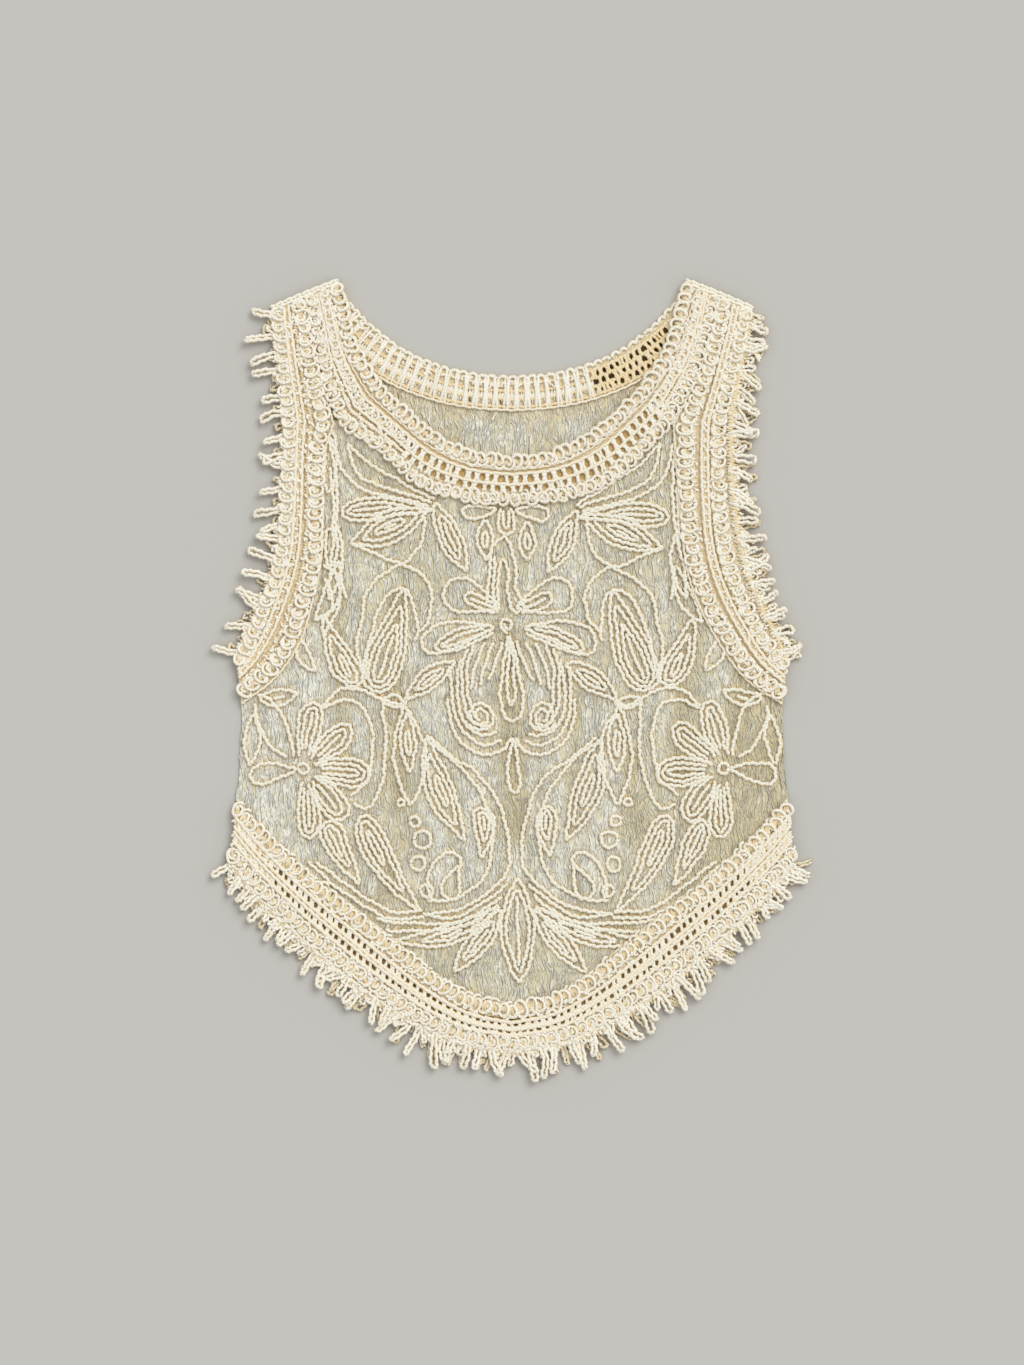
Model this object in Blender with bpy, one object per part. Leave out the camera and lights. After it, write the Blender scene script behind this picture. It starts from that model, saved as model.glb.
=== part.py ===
"""A sleeveless cotton top with crochet bands, laid flat on its back.

The gauze front carries raised cord flowers and leaves. Crochet bands finish the neck, the armholes
and the dipped hem, and looped fringe hangs from the armholes and the hem.

+Y runs from the hem up to the shoulders and +Z up from the surface that the top lies on. The tables
are in millimetres and describe the right half (+X). The left half mirrors it, but the left strap and
armhole bands lie a little further out and narrower, and have rows of their own.
"""

import math
from collections import namedtuple

import bmesh
import bpy
from mathutils import Vector, geometry

MM = 0.001

# The middle of the whole outline in the tables' own Y, which becomes the origin.
OUTLINE_MIDDLE_Y = 1.15

# Layers, as heights above the surface.
SEAM_GAP = 0.3
GAUZE_WALL = 1.2
BACK_BAND_WALL = 3.0
FRONT_BAND_FLOOR = BACK_BAND_WALL + SEAM_GAP
FRONT_GAUZE_FLOOR = 2.6
SIDE_SEAM_FLOOR = GAUZE_WALL + SEAM_GAP
SIDE_ROLL_WIDTH = 14.0

# Spacing of the sections along a band, and of the points on a plain inner face.
FRONT_STEP = 14.0
BACK_STEP = 16.0
PLAIN_STEP = 45.0
PLAIN_MARGIN = 12.0
STAGGERED_ROW = 0.87
SIDE_STEP = 14.0

# Cord that is sewn onto the front.
CORD_HEIGHT = 2.3
CORD_HALF_WIDTH = 1.9
CORD_STEP = 11.0
RING_STEP = 6.6
COIL_STEP = 7.7
CORD_MARGIN = 3.2
VEINED_WIDTH = 18
VEIN_START, VEIN_END = 0.22, 0.80

# The cloth beside and between the cords: how near its points come to cord, edge and each other.
CORD_CLEARANCE = 1.5
FOOT_SPACING = 2.8
FOOT_MARGIN = 1.2
GROUND_STEP = 18.0
GROUND_CLEARANCE = 5.5
GROUND_MARGIN = 6.0

# Fringe: flat loops that leave a narrow strip along the crochet edge.
STRIP_WIDTH = 3.0
FRINGE_WALL = 2.3
FRONT_FRINGE_FLOOR = 3.5
BACK_FRINGE_FLOOR = 0.4
LOOP_ROOT = 4.2
LOOP_TIP = 3.0
Loops = namedtuple("Loops", "count lengths fall")
Layer = namedtuple("Layer", "name floor step seed hem arm")
FRINGES = [
    Layer(
        name="front",
        floor=FRONT_FRINGE_FLOOR,
        step=FRONT_STEP,
        seed=0.4,
        hem=Loops(count=34, lengths=(20, 13), fall=(0, -0.5)),
        arm=Loops(count=24, lengths=(16, 16), fall=(0.3, -0.35)),
    ),
    Layer(
        name="back",
        floor=BACK_FRINGE_FLOOR,
        step=BACK_STEP,
        seed=2.1,
        hem=Loops(count=30, lengths=(18, 12), fall=(0, -0.4)),
        arm=Loops(count=22, lengths=(17, 15), fall=(0.3, -0.2)),
    ),
]

# One cross-section of a band: its free edge and the edge that is sewn on.
Row = namedtuple("Row", "edge seam")
NECK_FRONT = [
    Row(edge=(129, 299), seam=(154.5, 288.5)),
    Row(edge=(124, 280), seam=(150, 266)),
    Row(edge=(116, 252), seam=(140, 234)),
    Row(edge=(97, 224.5), seam=(120, 193)),
    Row(edge=(76, 202), seam=(99, 171)),
    Row(edge=(53, 185), seam=(72, 147)),
    Row(edge=(28, 173), seam=(36, 135.5)),
    Row(edge=(0, 169), seam=(0, 132.5)),
]
NECK_BACK = [
    Row(edge=(129, 299), seam=(154.5, 288.5)),
    Row(edge=(120, 285.5), seam=(150, 266)),
    Row(edge=(101, 265.5), seam=(120, 241)),
    Row(edge=(78, 249), seam=(90, 223)),
    Row(edge=(52, 238), seam=(58, 211)),
    Row(edge=(26, 232), seam=(28.5, 205.5)),
    Row(edge=(0, 230), seam=(0, 203.5)),
]
ARMHOLE = [
    Row(edge=(180, 278), seam=(154.5, 288.5)),
    Row(edge=(177, 255), seam=(150, 266)),
    Row(edge=(172, 228), seam=(140, 234)),
    Row(edge=(169, 199), seam=(120, 193)),
    Row(edge=(168.5, 168), seam=(122, 164)),
    Row(edge=(171, 130), seam=(125.5, 126)),
    Row(edge=(177, 95), seam=(129.5, 88)),
    Row(edge=(187, 66), seam=(139, 58)),
    Row(edge=(198, 43), seam=(157, 25)),
    Row(edge=(204, 30), seam=(176, 1)),
    Row(edge=(206.5, 20.5), seam=(203, -17)),
]
# The left half, mirrored: the front's strap seam, and the armhole of both layers.
NECK_FRONT_LEFT = [
    *NECK_FRONT[:2],
    Row(edge=(116, 252), seam=(144, 234)),
    Row(edge=(97, 224.5), seam=(133, 194)),
    *NECK_FRONT[4:],
]
ARMHOLE_LEFT = [
    Row(edge=(180, 278), seam=(154.5, 288.5)),
    Row(edge=(178, 255), seam=(150, 266)),
    Row(edge=(175, 228), seam=(144, 234)),
    Row(edge=(172.5, 199), seam=(133, 194)),
    Row(edge=(171, 168), seam=(141, 166)),
    Row(edge=(174, 130), seam=(141, 127)),
    Row(edge=(178.5, 95), seam=(142.5, 91)),
    Row(edge=(188, 66), seam=(149, 60)),
    Row(edge=(198.5, 43), seam=(158, 30)),
    Row(edge=(204, 30), seam=(177, 3)),
    Row(edge=(206.5, 20.5), seam=(203, -17)),
]
HEM = [
    Row(edge=(211.5, -138), seam=(206.5, -85)),
    Row(edge=(196, -158), seam=(186, -107)),
    Row(edge=(168, -186), seam=(150, -141)),
    Row(edge=(137, -213.5), seam=(118, -166)),
    Row(edge=(105, -238), seam=(86, -192)),
    Row(edge=(72, -258.5), seam=(58, -215)),
    Row(edge=(37, -273), seam=(29, -232.5)),
    Row(edge=(0, -279), seam=(0, -239)),
]
SIDE = [(203, -17), (203.5, -50), (206.5, -85)]
SHOULDER = [(129.9, 301.6), (181.1, 280.5)]

# The rows where the sewn edge turns a corner: the strap seam ends at the front and back tips.
BACK_TIP, FRONT_TIP = 1, 3

# Band relief, from the free edge (0) to the sewn edge (1): a puffed row, two rails, a puffed row.
Relief = namedtuple("Relief", "across height")
FRONT_RELIEF = [
    Relief(0.00, 0.9),
    Relief(0.05, 2.7),
    Relief(0.16, 3.6),
    Relief(0.30, 2.0),
    Relief(0.39, 3.1),
    Relief(0.50, 2.0),
    Relief(0.61, 3.1),
    Relief(0.70, 2.0),
    Relief(0.86, 3.6),
    Relief(1.00, 0.9),
]
BACK_RELIEF = [
    Relief(0.00, 0.9),
    Relief(0.06, 2.6),
    Relief(0.20, 3.0),
    Relief(0.40, 2.3),
    Relief(0.60, 2.8),
    Relief(0.94, 2.5),
    Relief(1.00, 0.9),
]

# The shoulder seam's whole section: two chains side by side, round the edges of both layers.
SEAM_SECTION = [
    Relief(0.00, 3.2),
    Relief(0.12, 5.6),
    Relief(0.30, 6.6),
    Relief(0.50, 5.8),
    Relief(0.70, 6.6),
    Relief(0.88, 5.6),
    Relief(1.00, 3.2),
    Relief(1.00, 0.6),
    Relief(0.85, 0.0),
    Relief(0.15, 0.0),
    Relief(0.00, 0.6),
]
SEAM_WIDTH = 4.8

# Soft folds of the front gauze, as ridges from start to end.
Fold = namedtuple("Fold", "start end width height")
FOLDS = [
    Fold(start=(84, -10), end=(78, -150), width=13, height=1.7),
    Fold(start=(-78, -20), end=(-92, -140), width=16, height=1.2),
    Fold(start=(158, 30), end=(140, -60), width=12, height=1.5),
    Fold(start=(-160, 26), end=(-146, -70), width=13, height=1.4),
    Fold(start=(30, 120), end=(22, -180), width=15, height=0.9),
    Fold(start=(-36, 110), end=(-30, -170), width=14, height=1.0),
]

# Cord motifs of the right half. A leaf is pointed at both ends, a petal is rounded at its tip.
Motif = namedtuple("Motif", "base tip width")
LEAVES = [
    Motif(base=(17, 122), tip=(22, 84), width=11),
    Motif(base=(46, 128), tip=(118, 123), width=15),
    Motif(base=(46, 122), tip=(110, 98), width=17),
    Motif(base=(46, 118), tip=(36, 78), width=12),
    Motif(base=(104, -2), tip=(88, 74), width=18),
    Motif(base=(120, -4), tip=(142, 52), width=16),
    Motif(base=(46, 8), tip=(78, -16), width=14),
    Motif(base=(132, 152), tip=(136, 108), width=9),
    Motif(base=(66, -46), tip=(36, -118), width=20),
    Motif(base=(84, -20), tip=(76, -80), width=15),
    Motif(base=(118, -98), tip=(66, -166), width=20),
    Motif(base=(142, -102), tip=(122, -148), width=15),
    Motif(base=(10, -166), tip=(82, -190), width=15),
    Motif(base=(8, -170), tip=(50, -215), width=16),
    Motif(base=(193, -22), tip=(190, -62), width=11),
    Motif(base=(162, 22), tip=(152, -12), width=12),
]
PETALS = [
    Motif(base=(7, 50), tip=(50, 82), width=27),
    Motif(base=(9, 42), tip=(68, 24), width=25),
    Motif(base=(7, 34), tip=(38, -14), width=22),
    Motif(base=(110, -6), tip=(80, 90), width=42),
    Motif(base=(24, -92), tip=(22, -132), width=13),
    Motif(base=(52, -128), tip=(38, -158), width=15),
    Motif(base=(152, -64), tip=(108, -60), width=17),
    Motif(base=(153, -68), tip=(116, -88), width=16),
    Motif(base=(155, -71), tip=(138, -112), width=16),
    Motif(base=(159, -71), tip=(168, -108), width=15),
    Motif(base=(154, -56), tip=(128, -22), width=17),
    Motif(base=(159, -54), tip=(164, -16), width=15),
    Motif(base=(165, -60), tip=(196, -74), width=17),
]
CENTRE_PETALS = [
    Motif(base=(0, 54), tip=(0, 128), width=20),
    Motif(base=(0, 33), tip=(0, -28), width=16),
    Motif(base=(0, -36), tip=(0, -62), width=8),
    Motif(base=(0, -66), tip=(0, -94), width=8),
    Motif(base=(0, -156), tip=(0, -226), width=24),
]
Ring = namedtuple("Ring", "centre radius")
RINGS = [
    Ring(centre=(158, -62), radius=5.0),
    Ring(centre=(88, -92), radius=5.0),
    Ring(centre=(67, -114), radius=7.0),
    Ring(centre=(64, -134), radius=6.5),
    Ring(centre=(34, 124), radius=5.0),
]
CENTRE_RINGS = [Ring(centre=(0, 43), radius=5.5)]
Coil = namedtuple("Coil", "centre radius turns start")
COILS = [Coil(centre=(26, -22), radius=15, turns=1.6, start=200)]
VINES = [
    [(68, -43), (46, -58), (24, -84), (9, -114), (1, -142)],
    [(3, -150), (22, -166), (50, -173), (84, -166), (112, -152), (134, -138)],
    [(162, -28), (146, -10), (124, -6), (106, -24), (99, -54), (104, -84), (122, -98)],
    [(80, -14), (96, -8), (112, -7), (134, 0), (150, -8)],
    [(4, -40), (16, -54), (36, -52), (50, -36), (54, -14)],
    [(128, 96), (140, 84), (142, 66), (134, 56)],
    [(58, 90), (74, 92), (84, 84), (98, 92)],
    [(52, 136), (82, 148), (108, 170), (124, 192)],
    [(56, 130), (90, 139), (118, 160), (130, 182)],
]


def lerp(a, b, share):
    return Vector(a).lerp(Vector(b), share)


def spline_point(points, at):
    """A point of the smooth curve through the points; at counts them from 0."""
    index = min(int(at), len(points) - 2)
    share = at - index
    p1, p2 = Vector(points[index]), Vector(points[index + 1])
    p0 = Vector(points[index - 1]) if index else 2 * p1 - p2
    p3 = Vector(points[index + 2]) if index + 2 < len(points) else 2 * p2 - p1
    return (
        p1
        + (p2 - p0) * (share / 2)
        + (p0 - 2.5 * p1 + 2 * p2 - p3 / 2) * share**2
        + (1.5 * (p1 - p2) + (p3 - p0) / 2) * share**3
    )


def broken_spline_point(points, at, corners):
    """The same for a curve that turns a corner at some of its points."""
    ends = [0, *corners, len(points) - 1]
    for first, last in zip(ends, ends[1:]):
        if at <= last:
            return spline_point(points[first : last + 1], at - first)
    return Vector(points[-1])


def band_sections(rows, step, corners=()):
    """(where, edge point, seam point) of each cross-section; where counts the table's rows."""
    edges, seams = [row.edge for row in rows], [row.seam for row in rows]
    found = []
    for index in range(len(rows) - 1):
        longest = max(
            (Vector(side[index + 1]) - Vector(side[index])).length for side in (edges, seams)
        )
        parts = max(1, round(longest / step))
        found += [index + part / parts for part in range(parts)]
    found.append(len(rows) - 1)
    return [
        (where, spline_point(edges, where), broken_spline_point(seams, where, corners))
        for where in found
    ]


def mirrored(points):
    return [Vector((-point.x, point.y)) for point in points]


def one_side(sections, side):
    """The (edge, seam) pairs of a band on the right (1) or, mirrored, on the left (-1)."""
    return [(Vector((side * e.x, e.y)), Vector((side * s.x, s.y))) for _, e, s in sections]


def both_halves(right, left):
    """A band that runs from the left end, through the middle, to the right end."""
    return one_side(left, -1) + one_side(right, 1)[-2::-1]


def along(points, step):
    """Evenly spaced points of a polyline."""
    lengths = [(b - a).length for a, b in zip(points, points[1:])]
    total = sum(lengths)
    parts = max(2, round(total / step))
    made, index, passed = [points[0].copy()], 0, 0.0
    for part in range(1, parts):
        target = total * part / parts
        while passed + lengths[index] < target:
            passed += lengths[index]
            index += 1
        made.append(points[index].lerp(points[index + 1], (target - passed) / lengths[index]))
    return made + [points[-1].copy()]


def smooth_line(points, fineness=8):
    parts = (len(points) - 1) * fineness
    return [spline_point(points, part / fineness) for part in range(parts + 1)]


def inset(outline, gap):
    """A closed outline, counter-clockwise, moved inwards by gap."""
    moved = []
    for index, point in enumerate(outline):
        before = (point - outline[index - 1]).normalized()
        after = (outline[(index + 1) % len(outline)] - point).normalized()
        inward = Vector((-before.y - after.y, before.x + after.x))
        moved.append(point + inward.normalized() * gap / max(0.35, inward.length / 2))
    return moved


def distance_to(point, start, end):
    run = end - start
    share = (point - start).dot(run) / max(run.length_squared, 1e-9)
    return (point - start - run * min(1.0, max(0.0, share))).length


def is_inside(point, outline):
    crossings = False
    for a, b in zip(outline, outline[1:] + outline[:1]):
        if (a.y > point.y) != (b.y > point.y):
            crossings ^= point.x < (b.x - a.x) * (point.y - a.y) / (b.y - a.y) + a.x
    return crossings


class Crowd:
    """Points and line pieces kept in cells, to ask how near the nearest one is."""

    CELL = 9.0

    def __init__(self):
        self.cells = {}

    def add(self, start, end=None):
        end = end or start
        piece = (start, end)
        for share in (0, 0.5, 1):
            middle = start.lerp(end, share)
            key = (int(middle.x // self.CELL), int(middle.y // self.CELL))
            self.cells.setdefault(key, []).append(piece)

    def distance(self, point):
        column, row = int(point.x // self.CELL), int(point.y // self.CELL)
        found = [self.CELL]
        for x in (column - 1, column, column + 1):
            for y in (row - 1, row, row + 1):
                found += [distance_to(point, *piece) for piece in self.cells.get((x, y), ())]
        return min(found)


def motif_outline(motif, pointed):
    """The cord round a leaf or a petal, as a closed line, and the vein of a wide one."""
    base, tip = Vector(motif.base), Vector(motif.tip)
    run = tip - base
    across = Vector((-run.y, run.x)).normalized()
    swell_power, fullness = (1.0, 0.9) if pointed else (1.5, 0.8)
    steps = 24
    sides = []
    for part in range(steps + 1):
        share = part / steps
        half = motif.width / 2 * math.sin(math.pi * share**swell_power) ** fullness
        sides.append((base + run * share, across * half))
    outline = [middle + half for middle, half in sides] + [
        middle - half for middle, half in sides[-2:0:-1]
    ]
    lines = [outline + [outline[0]]]
    if motif.width >= VEINED_WIDTH:
        lines.append([base + run * VEIN_START, base + run * VEIN_END])
    return lines


def circle(ring):
    steps = 16
    turn = 2 * math.pi / steps
    return [
        Vector(ring.centre) + ring.radius * Vector((math.cos(part * turn), math.sin(part * turn)))
        for part in range(steps + 1)
    ]


def coil_line(coil):
    """A cord that winds in to a fifth of the coil's radius."""
    steps = 36
    line = []
    for part in range(steps + 1):
        share = part / steps
        angle = math.radians(coil.start + 360 * coil.turns * share)
        reach = coil.radius * (1 - 0.8 * share)
        line.append(Vector(coil.centre) + reach * Vector((math.cos(angle), math.sin(angle))))
    return line


def cord_lines():
    """The middle lines of all the cord on the front, as (line, spacing of its points)."""
    half = []
    for motifs, pointed in ((LEAVES, True), (PETALS, False)):
        for motif in motifs:
            half += [(line, CORD_STEP) for line in motif_outline(motif, pointed)]
    half += [(circle(ring), RING_STEP) for ring in RINGS]
    half += [(coil_line(coil), COIL_STEP) for coil in COILS]
    half += [(smooth_line(points), CORD_STEP) for points in VINES]
    middle = []
    for motif in CENTRE_PETALS:
        middle += [(line, CORD_STEP) for line in motif_outline(motif, pointed=False)]
    middle += [(circle(ring), RING_STEP) for ring in CENTRE_RINGS]
    return half + [(mirrored(line), step) for line, step in half] + middle


def side_seam_distance(point):
    right = Vector((abs(point.x), point.y))
    return min(distance_to(right, Vector(a), Vector(b)) for a, b in zip(SIDE, SIDE[1:]))


def front_floor(point):
    """Height of the front gauze's inner face: soft folds, rolled down at the side seams."""
    height = FRONT_GAUZE_FLOOR
    for fold in FOLDS:
        away = distance_to(point, Vector(fold.start), Vector(fold.end)) / fold.width
        height += fold.height * math.exp(-(away**2))
    share = min(1.0, side_seam_distance(point) / SIDE_ROLL_WIDTH)
    eased = share * share * (3 - 2 * share)
    return SIDE_SEAM_FLOOR + (height - SIDE_SEAM_FLOOR) * eased


def half_outline(neck_sections, arm_sections, hem_sections, tip):
    """The right half of a panel's outline, from the neck's middle round to the hem's."""
    neck = [seam for where, _, seam in reversed(neck_sections) if where >= tip]
    arm = [seam for where, _, seam in arm_sections if where > tip]
    side = along(smooth_line(SIDE), SIDE_STEP)[1:-1]
    return neck + arm + side + [seam for _, _, seam in hem_sections]


def panel_outline(right, left):
    """The closed outline of a gauze panel, counter-clockwise, along the seams of its bands."""
    return inset([*reversed(right + mirrored(left[-2:0:-1]))], SEAM_GAP / 2)


def grid_points(outline, step, margin):
    """Points of a staggered grid that lie inside the outline, clear of its edge."""
    edge = Crowd()
    for a, b in zip(outline, outline[1:] + outline[:1]):
        edge.add(a, b)
    columns = int(max(abs(point.x) for point in outline) // step) + 1
    rows = int(max(abs(point.y) for point in outline) // step) + 2
    found = []
    for row in range(-rows, rows + 1):
        for column in range(-columns, columns + 1):
            point = Vector(((column + row % 2 / 2) * step, row * step * STAGGERED_ROW))
            if is_inside(point, outline) and edge.distance(point) > margin:
                found.append(point)
    return found


def triangulated(outline, points, lines=()):
    """(points, triangles) that fill the outline and keep every line as an edge."""
    vertices, edges = list(outline) + list(points), []
    for line in lines:
        first = len(vertices)
        vertices += line
        edges += [(first + index, first + index + 1) for index in range(len(line) - 1)]
    boundary = list(range(len(outline)))
    edges += [(index, (index + 1) % len(outline)) for index in boundary]
    inside_only, tolerance = 1, 0.02
    made = geometry.delaunay_2d_cdt(vertices, edges, [boundary], inside_only, tolerance)
    return made[0], made[2]


def cord_network(outline):
    """The cord lines cut to the panel, and the free points beside them and between them."""
    edge, cords = Crowd(), Crowd()
    for a, b in zip(outline, outline[1:] + outline[:1]):
        edge.add(a, b)
    lines = []
    for line, step in cord_lines():
        run = []
        for point in along(line, step):
            if is_inside(point, outline) and edge.distance(point) > CORD_MARGIN:
                run.append(point)
                continue
            lines.append(run)
            run = []
        lines.append(run)
    lines = [line for line in lines if len(line) > 1]
    for line in lines:
        for a, b in zip(line, line[1:]):
            cords.add(a, b)
    beside = Crowd()
    free = []
    for line in lines:
        for index, middle in enumerate(line):
            run = line[min(index + 1, len(line) - 1)] - line[max(index - 1, 0)]
            out = Vector((-run.y, run.x)).normalized() * CORD_HALF_WIDTH
            for point in (middle + out, middle - out):
                if (
                    cords.distance(point) > CORD_CLEARANCE
                    and beside.distance(point) > FOOT_SPACING
                    and edge.distance(point) > FOOT_MARGIN
                ):
                    beside.add(point)
                    free.append(point)
    for point in grid_points(outline, GROUND_STEP, GROUND_MARGIN):
        if min(cords.distance(point), beside.distance(point)) > GROUND_CLEARANCE:
            free.append(point)
    return lines, free, cords


def cord_relief(point, cords):
    share = cords.distance(point) / CORD_HALF_WIDTH
    return CORD_HEIGHT * math.sqrt(max(0.0, 1 - share * share))


def new_object(name, mesh_builder, material):
    bm = bmesh.new()
    mesh_builder(bm)
    bmesh.ops.recalc_face_normals(bm, faces=bm.faces)
    bmesh.ops.translate(bm, vec=(0, -OUTLINE_MIDDLE_Y, 0), verts=bm.verts)
    bmesh.ops.scale(bm, vec=(MM, MM, MM), verts=bm.verts)
    mesh = bpy.data.meshes.new(name)
    bm.to_mesh(mesh)
    bm.free()
    mesh.materials.append(material)
    mesh.shade_smooth()
    mesh.set_sharp_from_angle(angle=math.radians(50))
    made = bpy.data.objects.new(name, mesh)
    bpy.data.collections["crochet_top"].objects.link(made)
    return made


def wall(name, outline, outer, inner, heights, material):
    """A panel between two triangulated faces that share the outline's points.

    outer and inner are (points, triangles); heights gives (outer height, inner height) of a point.
    """

    def build(bm):
        rims = []
        for (points, triangles), side in ((outer, 0), (inner, 1)):
            made = [bm.verts.new((p.x, p.y, heights(p)[side])) for p in points]
            for triangle in triangles:
                bm.faces.new([made[index] for index in triangle])
            rims.append(made[: len(outline)])
        for index in range(len(outline)):
            following = (index + 1) % len(outline)
            bm.faces.new(
                [rims[0][index], rims[0][following], rims[1][following], rims[1][index]]
            )

    return new_object(name, build, material)


def loft(name, rings, material):
    """A solid through closed rings of points, with a cap at each end."""

    def build(bm):
        made = [[bm.verts.new(point) for point in ring] for ring in rings]
        count = len(rings[0])
        for near, far in zip(made, made[1:]):
            for index in range(count):
                following = (index + 1) % count
                bm.faces.new([near[index], near[following], far[following], far[index]])
        bm.faces.new(made[0])
        bm.faces.new(list(reversed(made[-1])))

    return new_object(name, build, material)


def band(name, pairs, relief, floor, material):
    """A crochet band: its relief runs across each (edge, seam) pair of points."""
    rings = []
    for edge, seam in pairs:
        across = seam - edge
        sewn = 1 - SEAM_GAP / 2 / across.length
        ring = [
            (*(edge + across * min(point.across, sewn)), floor + point.height) for point in relief
        ]
        ring += [(*(edge + across * sewn), floor), (*edge, floor)]
        rings.append(ring)
    return loft(name, rings, material)


def shoulder_seam(name, side, material):
    """The raised join along a shoulder, which holds the front layer to the back layer."""
    start, end = (Vector((side * x, y)) for x, y in SHOULDER)
    across = Vector((start.y - end.y, end.x - start.x)).normalized() * SEAM_WIDTH
    rings = []
    sections = 6
    for part in range(sections + 1):
        middle = start.lerp(end, part / sections)
        first = middle - across / 2
        rings.append([(*(first + across * row.across), row.height) for row in SEAM_SECTION])
    return loft(name, rings, material)


def moved_out(line, distance):
    """The line, which runs with the garment on its left, moved away from the garment."""
    moved = []
    for index, point in enumerate(line):
        run = line[min(index + 1, len(line) - 1)] - line[max(index - 1, 0)]
        moved.append(point + Vector((run.y, -run.x)).normalized() * distance)
    return moved


def fringe_outline(line, count, lengths, fall, seed):
    """A comb: a strip along the outside of the line, and the loops that hang from it.

    lengths are those of the first and the last loop, and fall is how far they all lean.
    """
    near = moved_out(line, SEAM_GAP)
    total = sum((b - a).length for a, b in zip(line, line[1:]))
    roots = along(moved_out(line, SEAM_GAP + STRIP_WIDTH), total / (2 * count))
    comb = [roots[0]]
    for index in range(count):
        middle = roots[2 * index + 1]
        side = (roots[2 * index + 2] - roots[2 * index]).normalized()
        out = Vector((side.y, -side.x))
        lean = 0.16 * math.sin(1.9 * index + seed) + 0.10 * math.sin(0.7 * index + 2 * seed)
        uneven = 0.86 + 0.14 * math.sin(2.7 * index + 3 * seed)
        reach = uneven * (lengths[0] + (lengths[1] - lengths[0]) * index / count)
        run = (out + Vector(fall) + side * lean).normalized() * reach
        tip_side = Vector((-run.y, run.x)).normalized() * LOOP_TIP / 2
        comb += [
            middle - side * LOOP_ROOT / 2,
            middle + run - tip_side,
            middle + run + tip_side,
            middle + side * LOOP_ROOT / 2,
        ]
    comb.append(roots[-1])
    return comb + near[::-1]


def fringe(name, outline, floor, material):
    """The comb as a flat filled curve."""
    curve = bpy.data.curves.new(name, "CURVE")
    curve.dimensions = "2D"
    curve.fill_mode = "BOTH"
    curve.extrude = FRINGE_WALL / 2 * MM
    spline = curve.splines.new("POLY")
    spline.points.add(len(outline) - 1)
    for point, place in zip(spline.points, outline):
        point.co = (place.x * MM, place.y * MM, 0, 1)
    spline.use_cyclic_u = True
    curve.materials.append(material)
    made = bpy.data.objects.new(name, curve)
    made.location = (0, -OUTLINE_MIDDLE_Y * MM, (floor + FRINGE_WALL / 2) * MM)
    bpy.data.collections["crochet_top"].objects.link(made)
    return made


def cotton(name, colour):
    made = bpy.data.materials.new(name)
    made.use_nodes = True
    shader = made.node_tree.nodes["Principled BSDF"]
    shader.inputs["Base Color"].default_value = (*colour, 1)
    shader.inputs["Roughness"].default_value = 0.85
    shader.inputs["Metallic"].default_value = 0.0
    return made


def build_front(gauze, crochet):
    tips = (BACK_TIP, FRONT_TIP)
    neck, neck_left, arm, arm_left = (
        band_sections(rows, FRONT_STEP, tips)
        for rows in (NECK_FRONT, NECK_FRONT_LEFT, ARMHOLE, ARMHOLE_LEFT)
    )
    hem = band_sections(HEM, FRONT_STEP)
    band("neckband_front", both_halves(neck, neck_left), FRONT_RELIEF, FRONT_BAND_FLOOR, crochet)
    band("hem_band_front", both_halves(hem, hem), FRONT_RELIEF, FRONT_BAND_FLOOR, crochet)
    for sections, side, label in ((arm, 1, "right"), (arm_left, -1, "left")):
        pairs = one_side(sections, side)
        band(f"arm_band_front_{label}", pairs, FRONT_RELIEF, FRONT_BAND_FLOOR, crochet)

    outline = panel_outline(
        half_outline(neck, arm, hem, FRONT_TIP), half_outline(neck_left, arm_left, hem, FRONT_TIP)
    )
    lines, free, cords = cord_network(outline)
    outer = triangulated(outline, free, lines)
    inner = triangulated(outline, grid_points(outline, PLAIN_STEP, PLAIN_MARGIN))

    def heights(point):
        floor = front_floor(point)
        return floor + GAUZE_WALL + cord_relief(point, cords), floor

    wall("front_panel", outline, outer, inner, heights, gauze)


def build_back(gauze, crochet):
    neck = band_sections(NECK_BACK, BACK_STEP, (BACK_TIP,))
    arm, arm_left = (
        band_sections(rows, BACK_STEP, (BACK_TIP, FRONT_TIP)) for rows in (ARMHOLE, ARMHOLE_LEFT)
    )
    hem = band_sections(HEM, BACK_STEP)
    band("neckband_back", both_halves(neck, neck), BACK_RELIEF, 0.0, crochet)
    band("hem_band_back", both_halves(hem, hem), BACK_RELIEF, 0.0, crochet)
    for sections, side, label in ((arm, 1, "right"), (arm_left, -1, "left")):
        band(f"arm_band_back_{label}", one_side(sections, side), BACK_RELIEF, 0.0, crochet)
    outline = panel_outline(
        half_outline(neck, arm, hem, BACK_TIP), half_outline(neck, arm_left, hem, BACK_TIP)
    )
    face = triangulated(outline, grid_points(outline, PLAIN_STEP, PLAIN_MARGIN))
    wall("back_panel", outline, face, face, lambda point: (GAUZE_WALL, 0.0), gauze)


def build_fringe(crochet):
    for layer in FRINGES:
        for place, rows, row, side, label in (
            ("hem", HEM, layer.hem, 1, "right"),
            ("hem", HEM, layer.hem, -1, "left"),
            ("arm", ARMHOLE, layer.arm, 1, "right"),
            ("arm", ARMHOLE_LEFT, layer.arm, -1, "left"),
        ):
            line = [edge for _, edge, _ in band_sections(rows, layer.step)][::-1]
            comb = fringe_outline(line, row.count, row.lengths, row.fall, layer.seed)
            outline = [Vector((side * point.x, point.y)) for point in comb]
            fringe(f"fringe_{place}_{layer.name}_{label}", outline, layer.floor, crochet)


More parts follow.
